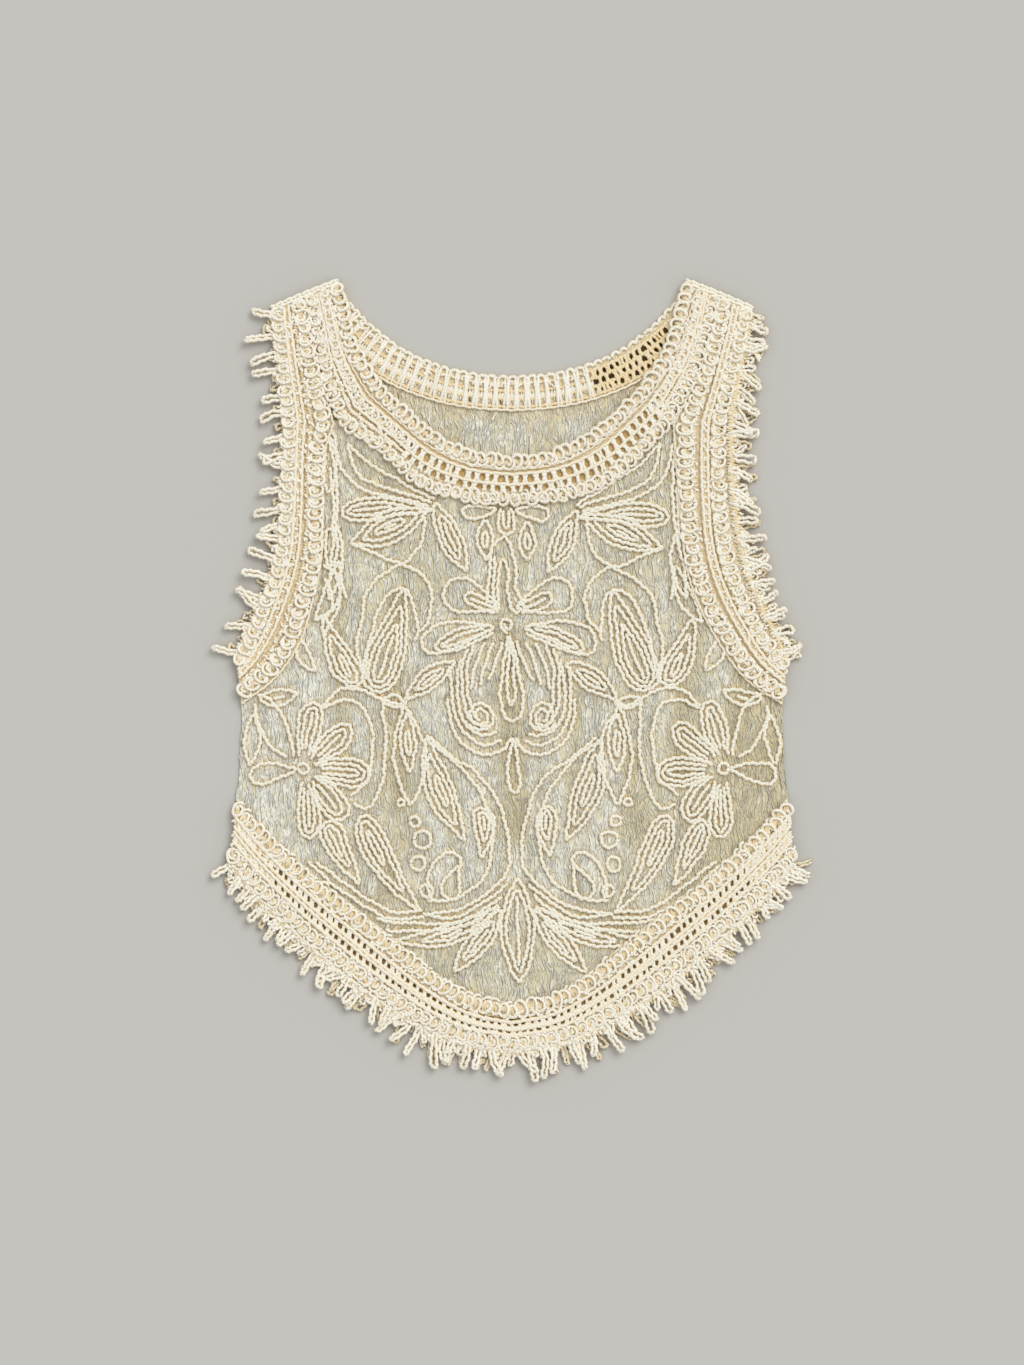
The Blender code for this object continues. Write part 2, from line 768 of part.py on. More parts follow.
def main():
    for old in list(bpy.data.objects):
        bpy.data.objects.remove(old)
    collection = bpy.data.collections.new("crochet_top")
    bpy.context.scene.collection.children.link(collection)
    gauze = cotton("cotton_gauze", (0.82, 0.78, 0.66))
    crochet = cotton("crochet_cotton", (0.88, 0.79, 0.58))
    build_front(gauze, crochet)
    build_back(gauze, crochet)
    build_fringe(crochet)
    for side, label in ((1, "right"), (-1, "left")):
        shoulder_seam(f"shoulder_seam_{label}", side, crochet)


main()
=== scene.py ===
import math
from collections import namedtuple

import bpy
import numpy as np
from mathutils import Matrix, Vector
from mathutils.kdtree import KDTree


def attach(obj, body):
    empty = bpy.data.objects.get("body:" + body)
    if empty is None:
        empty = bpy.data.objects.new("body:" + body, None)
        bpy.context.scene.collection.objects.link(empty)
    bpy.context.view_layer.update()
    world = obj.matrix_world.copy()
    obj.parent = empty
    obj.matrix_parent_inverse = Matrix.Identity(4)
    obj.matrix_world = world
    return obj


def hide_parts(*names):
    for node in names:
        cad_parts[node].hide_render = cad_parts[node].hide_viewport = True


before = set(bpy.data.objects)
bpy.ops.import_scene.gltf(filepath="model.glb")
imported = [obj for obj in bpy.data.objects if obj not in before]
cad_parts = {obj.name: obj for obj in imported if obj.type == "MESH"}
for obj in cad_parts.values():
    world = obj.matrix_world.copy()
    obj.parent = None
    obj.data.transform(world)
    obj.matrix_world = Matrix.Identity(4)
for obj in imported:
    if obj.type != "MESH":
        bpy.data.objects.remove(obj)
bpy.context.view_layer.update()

# lengths are in mm, from the middle of the top's width and the height of the underarm
mm = 0.001
outlineMiddleY = 1.15  # the tables' Y that lies over the frame's origin
dice = np.random.default_rng(41)


def uneven(*shape):
    return dice.random(shape) - 0.5


def smoothLine(points, fineness=16):
    # a smooth curve through the points
    p = np.array(points, float)
    p = np.vstack([2 * p[0] - p[1], p, 2 * p[-1] - p[-2]])
    t = np.linspace(0, 1, fineness, endpoint=False)[:, None]
    runs = []
    for a, b, c, d in zip(p, p[1:], p[2:], p[3:]):
        square, cube = a - 2.5 * b + 2 * c - d / 2, 1.5 * (b - c) + (d - a) / 2
        runs.append(b + (c - a) * t / 2 + square * t**2 + cube * t**3)
    return np.vstack(runs + [p[-2:-1]])


def brokenLine(points, corners):
    # smooth curves that meet at the numbered corners
    stops = [0, *corners, len(points) - 1]
    runs = [smoothLine(points[a : b + 1]) for a, b in zip(stops, stops[1:])]
    return np.vstack([run[:-1] for run in runs] + [runs[-1][-1:]])


def lengthAlong(line):
    return np.concatenate([[0], np.cumsum(np.linalg.norm(np.diff(line, axis=0), axis=1))])


def between(marks, reach, line):
    # the places at the marks, on a line whose points are at reach
    return np.stack([np.interp(marks, reach, column) for column in line.T], axis=-1)


def evenLine(line, step):
    line = np.asarray(line, float)
    reach = lengthAlong(line)
    return between(np.linspace(0, reach[-1], max(3, round(reach[-1] / step) + 1)), reach, line)


def flipped(line):
    return line * np.array([-1.0] + [1.0] * (line.shape[1] - 1))


def softStep(x):
    x = np.clip(x, 0, 1)
    return x * x * (3 - 2 * x)


class Grain:
    # smooth random heights from 0 to 1 over the plane
    size = 256

    def __init__(self, seed):
        self.table = np.random.default_rng(seed).random((self.size, self.size))

    def corner(self, x, y):
        return self.table[y % self.size, x % self.size]

    def __call__(self, x, y):
        left, low = np.floor(x).astype(int), np.floor(y).astype(int)
        right, high = left + 1, low + 1
        fx, fy = softStep(x - left), softStep(y - low)
        below = self.corner(left, low) * (1 - fx) + self.corner(right, low) * fx
        above = self.corner(left, high) * (1 - fx) + self.corner(right, high) * fx
        return below * (1 - fy) + above * fy


def newPiece(name, points, quads, material, uv=None, **fields):
    mesh = bpy.data.meshes.new(name)
    place = (np.asarray(points) - (0, outlineMiddleY, 0)) * mm
    mesh.vertices.add(len(place))
    mesh.vertices.foreach_set("co", place.astype(np.float32).ravel())
    mesh.loops.add(quads.size)
    mesh.polygons.add(len(quads))
    mesh.polygons.foreach_set("loop_start", np.arange(0, quads.size, 4, dtype=np.int32))
    mesh.polygons.foreach_set("vertices", quads.astype(np.int32).ravel())
    mesh.update(calc_edges=True)
    for key, values in fields.items():
        attribute = mesh.attributes.new(key, "FLOAT", "POINT")
        attribute.data.foreach_set("value", values.astype(np.float32).ravel())
    if uv is not None:
        mesh.uv_layers.new(name="ply").data.foreach_set("uv", uv.astype(np.float32).ravel())
    mesh.validate()
    mesh.shade_smooth()
    mesh.materials.append(material)
    piece = bpy.data.objects.new(name, mesh)
    bpy.context.scene.collection.objects.link(piece)
    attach(piece, "root")
    print(name, 2 * len(quads), "triangles")
    return piece


class Yarn:
    # collects tubes of yarn into one mesh; each path is a row of 3-D points
    pinch = 0.45  # the ends' thickness

    def __init__(self, sides=5):
        self.sides, self.count = sides, 0
        self.points, self.quads, self.uv, self.crown, self.tone = [], [], [], [], []

    def lay(self, paths, radius, tone=None, sink=0.0):
        paths = np.asarray(paths, float)
        if paths.ndim == 2:
            paths = paths[None]
        strands, beads, sides = *paths.shape[:2], self.sides
        radius = np.broadcast_to(np.asarray(radius, float), (strands, beads)).copy()
        radius[:, [0, -1]] *= self.pinch
        ahead = np.concatenate([paths[:, 1:], paths[:, -1:]], 1)
        behind = np.concatenate([paths[:, :1], paths[:, :-1]], 1)
        run = ahead - behind
        run /= np.linalg.norm(run, axis=2, keepdims=True) + 1e-9
        side = np.cross(run, (0.0, 0.0, 1.0))
        side[np.linalg.norm(side, axis=2) < 0.05] = (1.0, 0.0, 0.0)  # where the yarn stands upright
        side /= np.linalg.norm(side, axis=2, keepdims=True)
        top = np.cross(side, run)
        turn = 2 * np.pi * (np.arange(sides) + 0.5) / sides
        around = side[:, :, None] * np.cos(turn)[:, None] + top[:, :, None] * np.sin(turn)[:, None]
        points = paths[:, :, None] + around * radius[:, :, None, None]

        spot = np.arange(sides)
        following = (spot + 1) % sides
        ring = np.arange(strands)[:, None, None] * beads * sides + np.arange(beads - 1)[:, None] * sides
        beyond = ring + sides
        quads = np.stack([ring + spot, ring + following, beyond + following, beyond + spot], axis=-1)

        steps = np.linalg.norm(np.diff(paths, axis=1), axis=2)
        reach = np.concatenate([np.zeros((strands, 1)), np.cumsum(steps, 1)], 1)
        near, far = reach[:, :-1, None], reach[:, 1:, None]
        low, high = spot / sides, (spot + 1) / sides
        corners = [(near, low), (near, high), (far, high), (far, low)]
        uv = np.stack([np.stack(np.broadcast_arrays(u, v), -1) for u, v in corners], axis=3)

        # crown: how high round the yarn each point lies; sink lowers it, so that the finish's painted shade
        # reaches further up the yarn's sides
        crown = np.broadcast_to(np.sin(turn), (strands, beads, sides)) * 0.5 + 0.5 - sink
        shade = dice.random(strands) if tone is None else np.broadcast_to(tone, (strands,))
        self.points.append(points.reshape(-1, 3))
        self.quads.append(quads.reshape(-1, 4) + self.count)
        self.uv.append(uv.reshape(-1, 2))
        self.crown.append(crown.ravel())
        self.tone.append(np.repeat(shade, beads * sides))
        self.count += strands * beads * sides

    def piece(self, name, material):
        points, quads, uv = np.vstack(self.points), np.vstack(self.quads), np.vstack(self.uv)
        crown, tone = np.concatenate(self.crown), np.concatenate(self.tone)
        return newPiece(name, points, quads, material, uv, crown=crown, tone=tone)


def knobbly(line, row, sway):
    # a chain of stitches: the yarn swells and steps from side to side once a stitch
    line = evenLine(line, row["step"])
    run = np.gradient(line[:, :2], axis=0)
    run /= np.linalg.norm(run, axis=1, keepdims=True) + 1e-9
    beat = 2 * np.pi * lengthAlong(line) / row["stitch"] + dice.random() * 6
    line[:, 0] -= run[:, 1] * sway * np.sin(beat / 2)
    line[:, 1] += run[:, 0] * sway * np.sin(beat / 2)
    lumps = np.convolve(uneven(len(line) + 2), np.ones(3) / 3, "valid")
    return line, row["yarn"] * (1 + row["swell"] * np.sin(beat) + 0.35 * lumps)


class Signal:
    # a node's output; an operator on it adds a Math node
    def __init__(self, finish, socket):
        self.finish, self.socket = finish, socket

    def math(self, operation, first, second):
        return self.finish.add("ShaderNodeMath", {"operation": operation}, {0: first, 1: second})

    def __add__(self, other):
        return self.math("ADD", self, other)

    def __radd__(self, other):
        return self.math("ADD", other, self)

    def __sub__(self, other):
        return self.math("SUBTRACT", self, other)

    def __rsub__(self, other):
        return self.math("SUBTRACT", other, self)

    def __mul__(self, other):
        return self.math("MULTIPLY", self, other)

    def __rmul__(self, other):
        return self.math("MULTIPLY", other, self)

    def __truediv__(self, other):
        return self.math("DIVIDE", self, other)

    def __rtruediv__(self, other):
        return self.math("DIVIDE", other, self)


class Finish:
    # one node-based finish; look sets the shader's own sockets, which stay the same all over
    def __init__(self, name, look):
        self.material = bpy.data.materials.new(name)
        self.material.use_nodes = True
        self.tree = self.material.node_tree
        self.shader = self.tree.nodes["Principled BSDF"]
        for key, value in look.items():
            self.shader.inputs[key].default_value = value
        self.place = self.add("ShaderNodeTexCoord", output="Object")

    def add(self, kind, settings=None, inputs=None, output=0):
        made = self.tree.nodes.new(kind)
        for key, value in (settings or {}).items():
            setattr(made, key, value)
        for key, value in (inputs or {}).items():
            if isinstance(value, Signal):
                self.tree.links.new(value.socket, made.inputs[key])
            else:
                made.inputs[key].default_value = value
        return Signal(self, made.outputs[output])

    def field(self, name):
        return self.add("ShaderNodeAttribute", {"attribute_name": name}, output="Fac")

    def blend(self, factor, first, second):
        settings = {"data_type": "RGBA", "clamp_factor": True}
        return self.add("ShaderNodeMix", settings, {0: factor, 6: paint(first), 7: paint(second)}, output=2)

    def soften(self, value, low, high):
        smooth = {"interpolation_type": "SMOOTHSTEP"}
        return self.add("ShaderNodeMapRange", smooth, {0: value, 1: low, 2: high})

    def size(self, value):
        return self.add("ShaderNodeMath", {"operation": "ABSOLUTE"}, {0: value})

    def grain(self, where, scale, detail=2.0, output=0):
        return self.add("ShaderNodeTexNoise", {}, {"Vector": where, "Scale": scale, "Detail": detail}, output)

    def shift(self, operation, first, second):
        return self.add("ShaderNodeVectorMath", {"operation": operation}, {0: first, 1: second})

    def ridges(self, where, scale, width):
        # thin ridges, all about as wide, where a smooth grain crosses its middle value
        step = 0.0002
        moved = self.shift("ADD", where, (step, 0.0, 0.0))
        here, beside = self.grain(where, scale, 0), self.grain(moved, scale, 0)
        slope = self.size(beside - here) / step + scale * 0.05
        off = self.soften(self.size(here - 0.5) / slope, 0.0, width)
        return (1 - off) * self.soften(slope, scale * 0.15, scale * 0.5)

    def wear(self, colour, rough, height, strength, distance):
        relief = {"Strength": strength, "Distance": distance, "Height": height}
        bump = self.add("ShaderNodeBump", {}, relief)
        for key, signal in (("Base Color", colour), ("Roughness", rough), ("Normal", bump)):
            self.tree.links.new(signal.socket, self.shader.inputs[key])
        return self.material


def paint(colour):
    return (*colour, 1) if isinstance(colour, tuple) and len(colour) == 3 else colour


def linear(r, g, b):
    # a screen colour, 0 to 255, as light
    return tuple(((c / 255 + 0.055) / 1.055) ** 2.4 if c > 10 else c / 255 / 12.92 for c in (r, g, b))


def yarnFinish(name, colours):
    look = {"Metallic": 0.0, "Specular IOR Level": 0.25, "Sheen Weight": 0.25, "Sheen Roughness": 0.5}
    finish = Finish(name, look)
    ply = finish.add("ShaderNodeUVMap", {"uv_map": "ply"})
    along = finish.add("ShaderNodeSeparateXYZ", {}, {0: ply})
    around = Signal(finish, along.socket.node.outputs["Y"])
    turn = (along / colours["twist"] + around * 2) * 2 * math.pi
    twist = finish.add("ShaderNodeMath", {"operation": "SINE"}, {0: turn})
    fuzz = finish.grain(finish.place, 1400, 3)
    blotch = finish.grain(finish.place, 60, 2)
    # painted shade: lit cream on the yarn's top, shaded tan down its sides, from the crown
    top = finish.field("crown") + (fuzz - 0.5) * 0.25
    crown = finish.soften(top, colours["shadeFrom"], colours["shadeTo"])
    body = finish.blend(crown, colours["paintedShade"], colours["top"])
    # tone: random from strand to strand, but set darker on the low filling yarn as painted shade
    tone = finish.soften(finish.field("tone") * 0.7 + blotch * 0.6 - 0.15, 0.0, 1.0)
    body = finish.blend(tone * colours["uneven"], body, colours["agedAndShaded"])
    # painted shade in the grooves between the plies
    body = finish.blend((1 - finish.soften(twist, -1.0, 0.2)) * 0.16, body, colours["paintedShade"])
    return finish.wear(body, 0.82 + fuzz * 0.16, twist * 0.5 + fuzz * 0.8, 0.5, 0.0004)


# twist: length of one turn of the plies; shadeFrom and shadeTo: how far up the yarn its shade reaches
creamYarn = yarnFinish("cream_crochet_cotton", {
    "top": linear(248, 248, 241),
    "paintedShade": linear(238, 209, 144),
    "agedAndShaded": linear(241, 233, 210),
    "uneven": 0.4,
    "shadeFrom": 0.38,
    "shadeTo": 0.98,
    "twist": 2.4,
})
cordYarn = yarnFinish("cream_cord", {
    "top": linear(243, 243, 232),
    "paintedShade": linear(240, 212, 152),
    "agedAndShaded": linear(236, 228, 204),
    "uneven": 0.4,
    "shadeFrom": 0.34,
    "shadeTo": 0.98,
    "twist": 2.4,
})
# a darker copy of the cream yarn for the back's bands and fringe, which lie under the front: painted shade
shadedYarn = yarnFinish("shaded_copy_of_crochet_cotton", {
    "top": linear(240, 231, 206),
    "paintedShade": linear(198, 160, 96),
    "agedAndShaded": linear(228, 207, 160),
    "uneven": 0.5,
    "shadeFrom": 0.15,
    "shadeTo": 0.8,
    "twist": 2.4,
})


def groundFinish(name, top, deep):
    # the close crochet between and under the raised stitches; it is painted tan where its cells meet, painted
    # shade between its stitches
    finish = Finish(name, {"Metallic": 0.0, "Specular IOR Level": 0.2, "Sheen Weight": 0.2})
    cells = finish.add("ShaderNodeTexVoronoi", {"feature": "F1"}, {"Vector": finish.place, "Scale": 420.0})
    fuzz = finish.grain(finish.place, 900, 3)
    dip = finish.soften(cells + fuzz * 0.3, 0.25, 0.85)
    return finish.wear(finish.blend(dip, top, deep), 0.85 + fuzz * 0.12, 1 - dip, 0.7, 0.0006)


bandGround = groundFinish("crochet_ground", linear(246, 241, 224), linear(230, 214, 176))
# sheets under the eyelets and the net's holes, their colour painted shade
bandShade = groundFinish("shaded_inside_of_the_bands", linear(240, 220, 174), linear(214, 182, 120))
hemShade = groundFinish("shaded_inside_of_the_hem", linear(206, 178, 122), linear(150, 122, 74))
holeShade = groundFinish("deep_shade_under_the_strap", linear(112, 94, 66), linear(66, 54, 36))


def gauzeFinish(name, cloth):
    # crinkled gauze: smooth patches between sharp, mostly upright creases, painted pale on their crests
    # (painted light) and darker between them (painted shade)
    look = {"Metallic": 0.0, "Specular IOR Level": 0.2, "Sheen Weight": 0.2, "Sheen Roughness": 0.5}
    finish = Finish(name, look)
    drift = finish.shift("SUBTRACT", finish.grain(finish.place, 38, output=1), (0.5, 0.5, 0.5))
    bent = finish.shift("ADD", finish.place, finish.shift("MULTIPLY", drift, (cloth["drift"],) * 3))

    def drawnOut(share):
        return finish.add("ShaderNodeMapping", {}, {"Vector": bent, "Scale": (1.0, share, 1.0)})

    def creases(share, scale, width):
        return finish.ridges(drawnOut(share), scale, width)

    fibre = finish.grain(finish.place, 1500, 2)
    patch = finish.grain(finish.place, 45, 2)
    streak = finish.grain(drawnOut(cloth["streaks"]), 75, 2)
    calm = finish.soften(patch, 0.34, 0.6)
    pull, fold, crown = finish.field("pull"), finish.field("fold"), finish.field("crown")
    pucker = creases(*cloth["puckers"]) * pull
    ridge = creases(*cloth["creases"]) * (0.5 + 0.5 * calm)
    ridge = ridge + creases(*cloth["fineCreases"]) * (1 - 0.3 * calm) * 0.75
    ridge = ridge + creases(*cloth["threads"]) * 0.6 + pucker * 0.7
    # painted light and shade: upright streaks and the folds; the patches and fibres differ at random
    shade = (streak - 0.5) * 0.5 + (patch - 0.5) * 0.1 + (fibre - 0.5) * 0.2 + fold * 0.3
    # painted light on the creases' crests, painted shade between them
    light = finish.soften(ridge * 0.9 + (crown - 0.35) * 0.45 + shade, 0.0, 1.0)
    body = finish.blend(light, cloth["valley"], cloth["crest"])
    # painted shade: the fold troughs turn warm tan
    body = finish.blend(finish.soften(0.4 - fold * 0.6, 0.3, 1.0) * 0.5, body, cloth["troughShade"])
    # painted shade: tan beside the cords and between their puckers; on the back, along the neck seam
    body = finish.blend(finish.field("warmth") + (pull - pucker) * 0.07, body, cloth["tanBesideStitching"])
    return finish.wear(body, 0.86 + fibre * 0.1, ridge + crown * 0.3 + fibre * 0.1, 1.0, 0.0014)


gauze = gauzeFinish("crinkled_cotton_gauze", {
    "crest": linear(249, 248, 236),
    "valley": linear(218, 210, 178),
    "troughShade": linear(212, 197, 156),
    "tanBesideStitching": linear(236, 216, 170),  # painted shade beside the cords; on the back, a tan strip along the neck seam
    "drift": 0.015,                     # how far the creases wander, in metres
    # how they are drawn out down the cloth, how close they lie and how wide they are
    "creases": (0.13, 250, 0.0015),
    "fineCreases": (0.24, 430, 0.001),
    "threads": (0.4, 330, 0.0009),
    "puckers": (0.4, 480, 0.0009),
    "streaks": 0.22,
})


# rows run from the strap to the middle; each gives the free edge and the sewn edge
neckFrontRows = [
    ((129, 299), (154.5, 288.5)), ((124, 280), (150, 266)), ((116, 252), (140, 234)),
    ((97, 224.5), (120, 193)), ((76, 202), (99, 171)), ((53, 185), (72, 147)), ((28, 173), (36, 135.5)),
    ((0, 169), (0, 132.5)),
]
neckBackRows = [
    ((129, 299), (154.5, 288.5)), ((120, 285.5), (150, 266)), ((101, 265.5), (120, 241)),
    ((78, 249), (90, 223)), ((52, 238), (58, 211)), ((26, 232), (28.5, 205.5)), ((0, 230), (0, 203.5)),
]
armholeRows = [
    ((180, 278), (154.5, 288.5)), ((177, 255), (150, 266)), ((172, 228), (140, 234)),
    ((169, 199), (120, 193)), ((168.5, 168), (122, 164)), ((171, 130), (125.5, 126)),
    ((177, 95), (129.5, 88)), ((187, 66), (139, 58)), ((198, 43), (157, 25)), ((204, 30), (176, 1)),
    ((206.5, 20.5), (203, -17)),
]
# the left strap and armhole bands lie further out, and narrower
neckFrontLeft = neckFrontRows[:2] + [((116, 252), (144, 234)), ((97, 224.5), (133, 194))] + neckFrontRows[4:]
armholeLeft = [
    ((180, 278), (154.5, 288.5)), ((178, 255), (150, 266)), ((175, 228), (144, 234)),
    ((172.5, 199), (133, 194)), ((171, 168), (141, 166)), ((174, 130), (141, 127)),
    ((178.5, 95), (142.5, 91)), ((188, 66), (149, 60)), ((198.5, 43), (158, 30)), ((204, 30), (177, 3)),
    ((206.5, 20.5), (203, -17)),
]
hemRows = [
    ((211.5, -138), (206.5, -85)), ((196, -158), (186, -107)), ((168, -186), (150, -141)),
    ((137, -213.5), (118, -166)), ((105, -238), (86, -192)), ((72, -258.5), (58, -215)),
    ((37, -273), (29, -232.5)), ((0, -279), (0, -239)),
]
neckCorners, backNeckCorners, armCorners = (1, 3), (1,), (1, 3)  # rows at which the sewn edge has a corner
sideLine = [(203, -17), (203.5, -50), (206.5, -85)]
shoulderLine = [(129.9, 301.6), (181.1, 280.5)]


def spread(t, q):
    # a place across the band: one number, or several from its one end to its other
    if np.ndim(t):
        return np.interp(q, np.linspace(0, 1, len(t)), t)
    return np.full(np.shape(q), float(t))


def bothEdges(rows, corners):
    return smoothLine([edge for edge, _ in rows]), brokenLine([seam for _, seam in rows], corners)


class Band:
    # q runs along the band from 0 to 1, t across it from the free edge (0) to the sewn edge (1)
    rise = 0.9  # how far the stitches' middle is above the band's floor

    def __init__(self, rows, corners=(), side=0, floor=3.3, swell=1.0, left=None):
        edge, seam = bothEdges(rows, corners)
        if side == 0:
            leftEdge, leftSeam = bothEdges(left or rows, corners)
            edge = np.vstack([flipped(leftEdge)[:-1], edge[::-1]])
            seam = np.vstack([flipped(leftSeam)[:-1], seam[::-1]])
        elif side < 0:
            edge, seam = flipped(edge), flipped(seam)
        reach = lengthAlong((edge + seam) / 2)
        self.q = np.linspace(0, 1, 900)
        self.edge, self.seam = (between(self.q * reach[-1], reach, line) for line in (edge, seam))
        self.length, self.floor, self.swell = reach[-1], floor, swell
        self.width = np.linalg.norm(self.edge - self.seam, axis=1)

    def spot(self, q, t):
        q, t = np.broadcast_arrays(np.asarray(q, float), np.asarray(t, float))
        edge, seam = between(q, self.q, self.edge), between(q, self.q, self.seam)
        return edge + (seam - edge) * t[..., None]

    def reachAt(self, t):
        return lengthAlong(self.spot(self.q, spread(t, self.q)))

    def marks(self, t, pitch, start=0.0, end=1.0):
        # q of stitches that are evenly spaced along the row at t
        reach = self.reachAt(t)
        a, b = np.interp([start, end], self.q, reach)
        count = max(1, round((b - a) / pitch))
        return np.interp(a + (np.arange(count) + 0.5) * (b - a) / count, reach, self.q)

    def height(self, q, t):
        return self.floor + self.rise + self.swell * np.sin(np.pi * np.clip(t, 0.02, 0.98)) ** 0.6

    def frameAt(self, q, t):
        # the directions along the row and over it, towards the seam
        step = 1e-3
        run = self.spot(np.clip(q + step, 0, 1), t) - self.spot(np.clip(q - step, 0, 1), t)
        run /= np.linalg.norm(run, axis=-1, keepdims=True)
        across = self.spot(q, 1.0) - self.spot(q, 0.0)
        over = np.stack([-run[..., 1], run[..., 0]], -1)
        over *= np.sign((over * across).sum(-1, keepdims=True))
        return run, over

    def placed(self, q, t, aside, over, up):
        # paths, a row for each place q: along the band, towards the seam and up from there
        run, inward = self.frameAt(q, t)
        flat = self.spot(q, t)[:, None] + run[:, None] * aside[..., None] + inward[:, None] * over[..., None]
        return np.concatenate([flat, (self.height(q, t)[:, None] + up)[..., None]], -1)


# what rounds of stitches share, unless a band's own say otherwise
roundStitch = {
    "points": 30,
    "uneven": 0.25,    # how far their sizes differ
    "begin": 0.3,      # where each starts, in turns
    "wander": 1.0,     # how far that differs
    "turns": 1.6,
    "ring": 0.38,      # the share of the yarn that makes the outer ring
    "windIn": 0.8,     # how far the rest winds in
    "jitter": 1.6,
    "stretch": 1.15,   # across the band, against along it
    "lift": 0.9,
    "shingle": 1.0,    # how far one side lies over the next stitch
    "yarn": 1.35,
}
knotStitch = {"radius": 1.5, "lift": 0.3, "rise": 0.8, "yarn": 1.1}
bendPoints = 7


def curls(band, yarn, t, row, start=0.0, end=1.0):
    # round stitches: a ring whose yarn then winds in, each lying a little over the one before
    q = band.marks(t, row["pitch"], start, end)
    count, points = len(q), row["points"]
    share = np.linspace(0, 1, points)[None]
    size = row["radius"] * (1 + row["uneven"] * uneven(count, 1))
    begin = row["begin"] + row["wander"] * uneven(count, 1)
    turn = 2 * np.pi * (begin + share * row["turns"])
    inward = softStep((share - row["ring"]) / (1 - row["ring"]))
    wobble = np.sin(turn * 2 + 6 * dice.random((count, 1)))
    reach = size * (1 - row["windIn"] * inward) * (1 + 0.12 * wobble)
    side = reach * np.cos(turn)
    aside = side + row["jitter"] * uneven(count, 1)
    over = reach * np.sin(turn) * row["stretch"] + row["jitter"] * uneven(count, 1)
    wobble = np.sin(turn * 2 + 6 * dice.random((count, 1)))
    up = row["lift"] + row["shingle"] * side / size - 0.5 * inward + 0.2 * wobble
    rough = 0.45 * uneven(count, points, 3)
    aside, over, up = aside + rough[..., 0], over + rough[..., 1], up + rough[..., 2]
    thick = row["yarn"] * (0.86 + 0.28 * dice.random((count, points)))
    yarn.lay(band.placed(q, spread(t, q), aside, over, up), thick)


def filling(band, yarn, t, row, start=0.0, end=1.0, sink=0.3):
    # a low zigzag of yarn that fills the ground under a row of round stitches
    reach = band.reachAt(t)
    a, b = np.interp([start, end], band.q, reach)
    count = round((b - a) / row["pitch"]) * 4
    at = np.interp(np.linspace(a, b, count), reach, band.q)
    beat = np.pi / 2 * np.arange(count) + 0.5 * uneven(count)
    swing = row["reach"] * np.sin(beat) * (1 + 0.4 * uneven(count)) / np.interp(at, band.q, band.width)
    across = spread(t, at) + swing
    height = band.height(at, across) + row["lift"] + 0.25 * np.cos(beat * 2)
    # the low filling is set to the darker tone, and its painted shade reaches higher (sink): painted shade in
    # the ground
    yarn.lay(np.column_stack([band.spot(at, across), height]), row["yarn"], tone=0.7, sink=sink)


def rail(band, yarn, t, row, lift=0.9, sink=0.12, start=0.0, end=1.0):
    # a raised chain along the band
    q = band.q[(band.q >= start) & (band.q <= end)]
    t = spread(t, q)
    line = np.column_stack([band.spot(q, t), band.height(q, t) + lift])
    # sink: the painted shade reaches a little further up the chain's sides
    yarn.lay(*knobbly(line, row, 0.25), tone=0.2, sink=sink)


def posts(band, yarn, low, high, row, start=0.0, end=1.0, shift=0.0, sink=0.0):
    # upright stitches of two strands between two rails, with the holes between them
    q = band.marks(low, row["pitch"], start, end) + shift * row["pitch"] / band.length
    count, share = len(q), np.linspace(0, 1, bendPoints)[None]
    low, high = spread(low, q)[:, None], spread(high, q)[:, None]
    lean = row["lean"] * uneven(count, 1)
    t = low + (high - low) * share
    waist = np.cos(2 * np.pi * share)
    for strand in (-1, 1):
        aside = lean * (share - 0.5) + 0.3 * lean + row["apart"] * strand * (0.68 + 0.32 * waist)
        at = q[:, None] + (aside + row["uneven"] * uneven(count, 1)) / band.length
        height = band.height(at, t) + row["lift"] + 0.3 * np.sin(np.pi * share)
        thick = row["yarn"] * (1 + 0.4 * uneven(count, 1)) * (1 + 0.1 * waist)
        yarn.lay(np.concatenate([band.spot(at, t), height[..., None]], -1), thick, sink=sink)


def knots(band, yarn, t, row, start=0.0, end=1.0):
    # short, thick bends of yarn at odd angles, as between and over round stitches
    q = band.marks(t, row["pitch"], start, end)
    count, share = len(q), np.linspace(0, 1, bendPoints)[None]
    turn = 2 * np.pi * dice.random((count, 1)) + np.pi * (0.7 + 0.5 * dice.random((count, 1))) * share
    size = row["radius"] * (0.7 + 0.6 * dice.random((count, 1)))
    aside = size * np.cos(turn) + row["pitch"] * uneven(count, 1)
    over = size * np.sin(turn) + row["reach"] * 2 * uneven(count, 1)
    up = row["lift"] + 0.5 * dice.random((count, 1)) + row["rise"] * np.sin(np.pi * share)
    thick = row["yarn"] * (0.85 + 0.3 * dice.random((count, 1)))
    yarn.lay(band.placed(q, spread(t, q), aside, over, up), thick)


def ground(name, band, strips, rows=3, drop=0.5, material=bandGround):
    # the close crochet behind the stitches: strips from low t to high t, open between them
    points, quads, first = [], [], 0
    for low, high, start, end in strips:
        q = np.linspace(start, end, max(12, int(band.length * (end - start) / 4)))
        low, high = spread(low, q), spread(high, q)
        for share in np.linspace(0, 1, rows + 1):
            t = low + (high - low) * share
            points.append(np.column_stack([band.spot(q, t), band.height(q, t) - drop]))
        for row in range(rows):
            a = first + row * len(q) + np.arange(len(q) - 1)
            quads.append(np.stack([a, a + 1, a + 1 + len(q), a + len(q)], 1))
        first += (rows + 1) * len(q)
    return newPiece(name, np.vstack(points), np.vstack(quads), material)


def declareBand(node):
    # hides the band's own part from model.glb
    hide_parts(node)


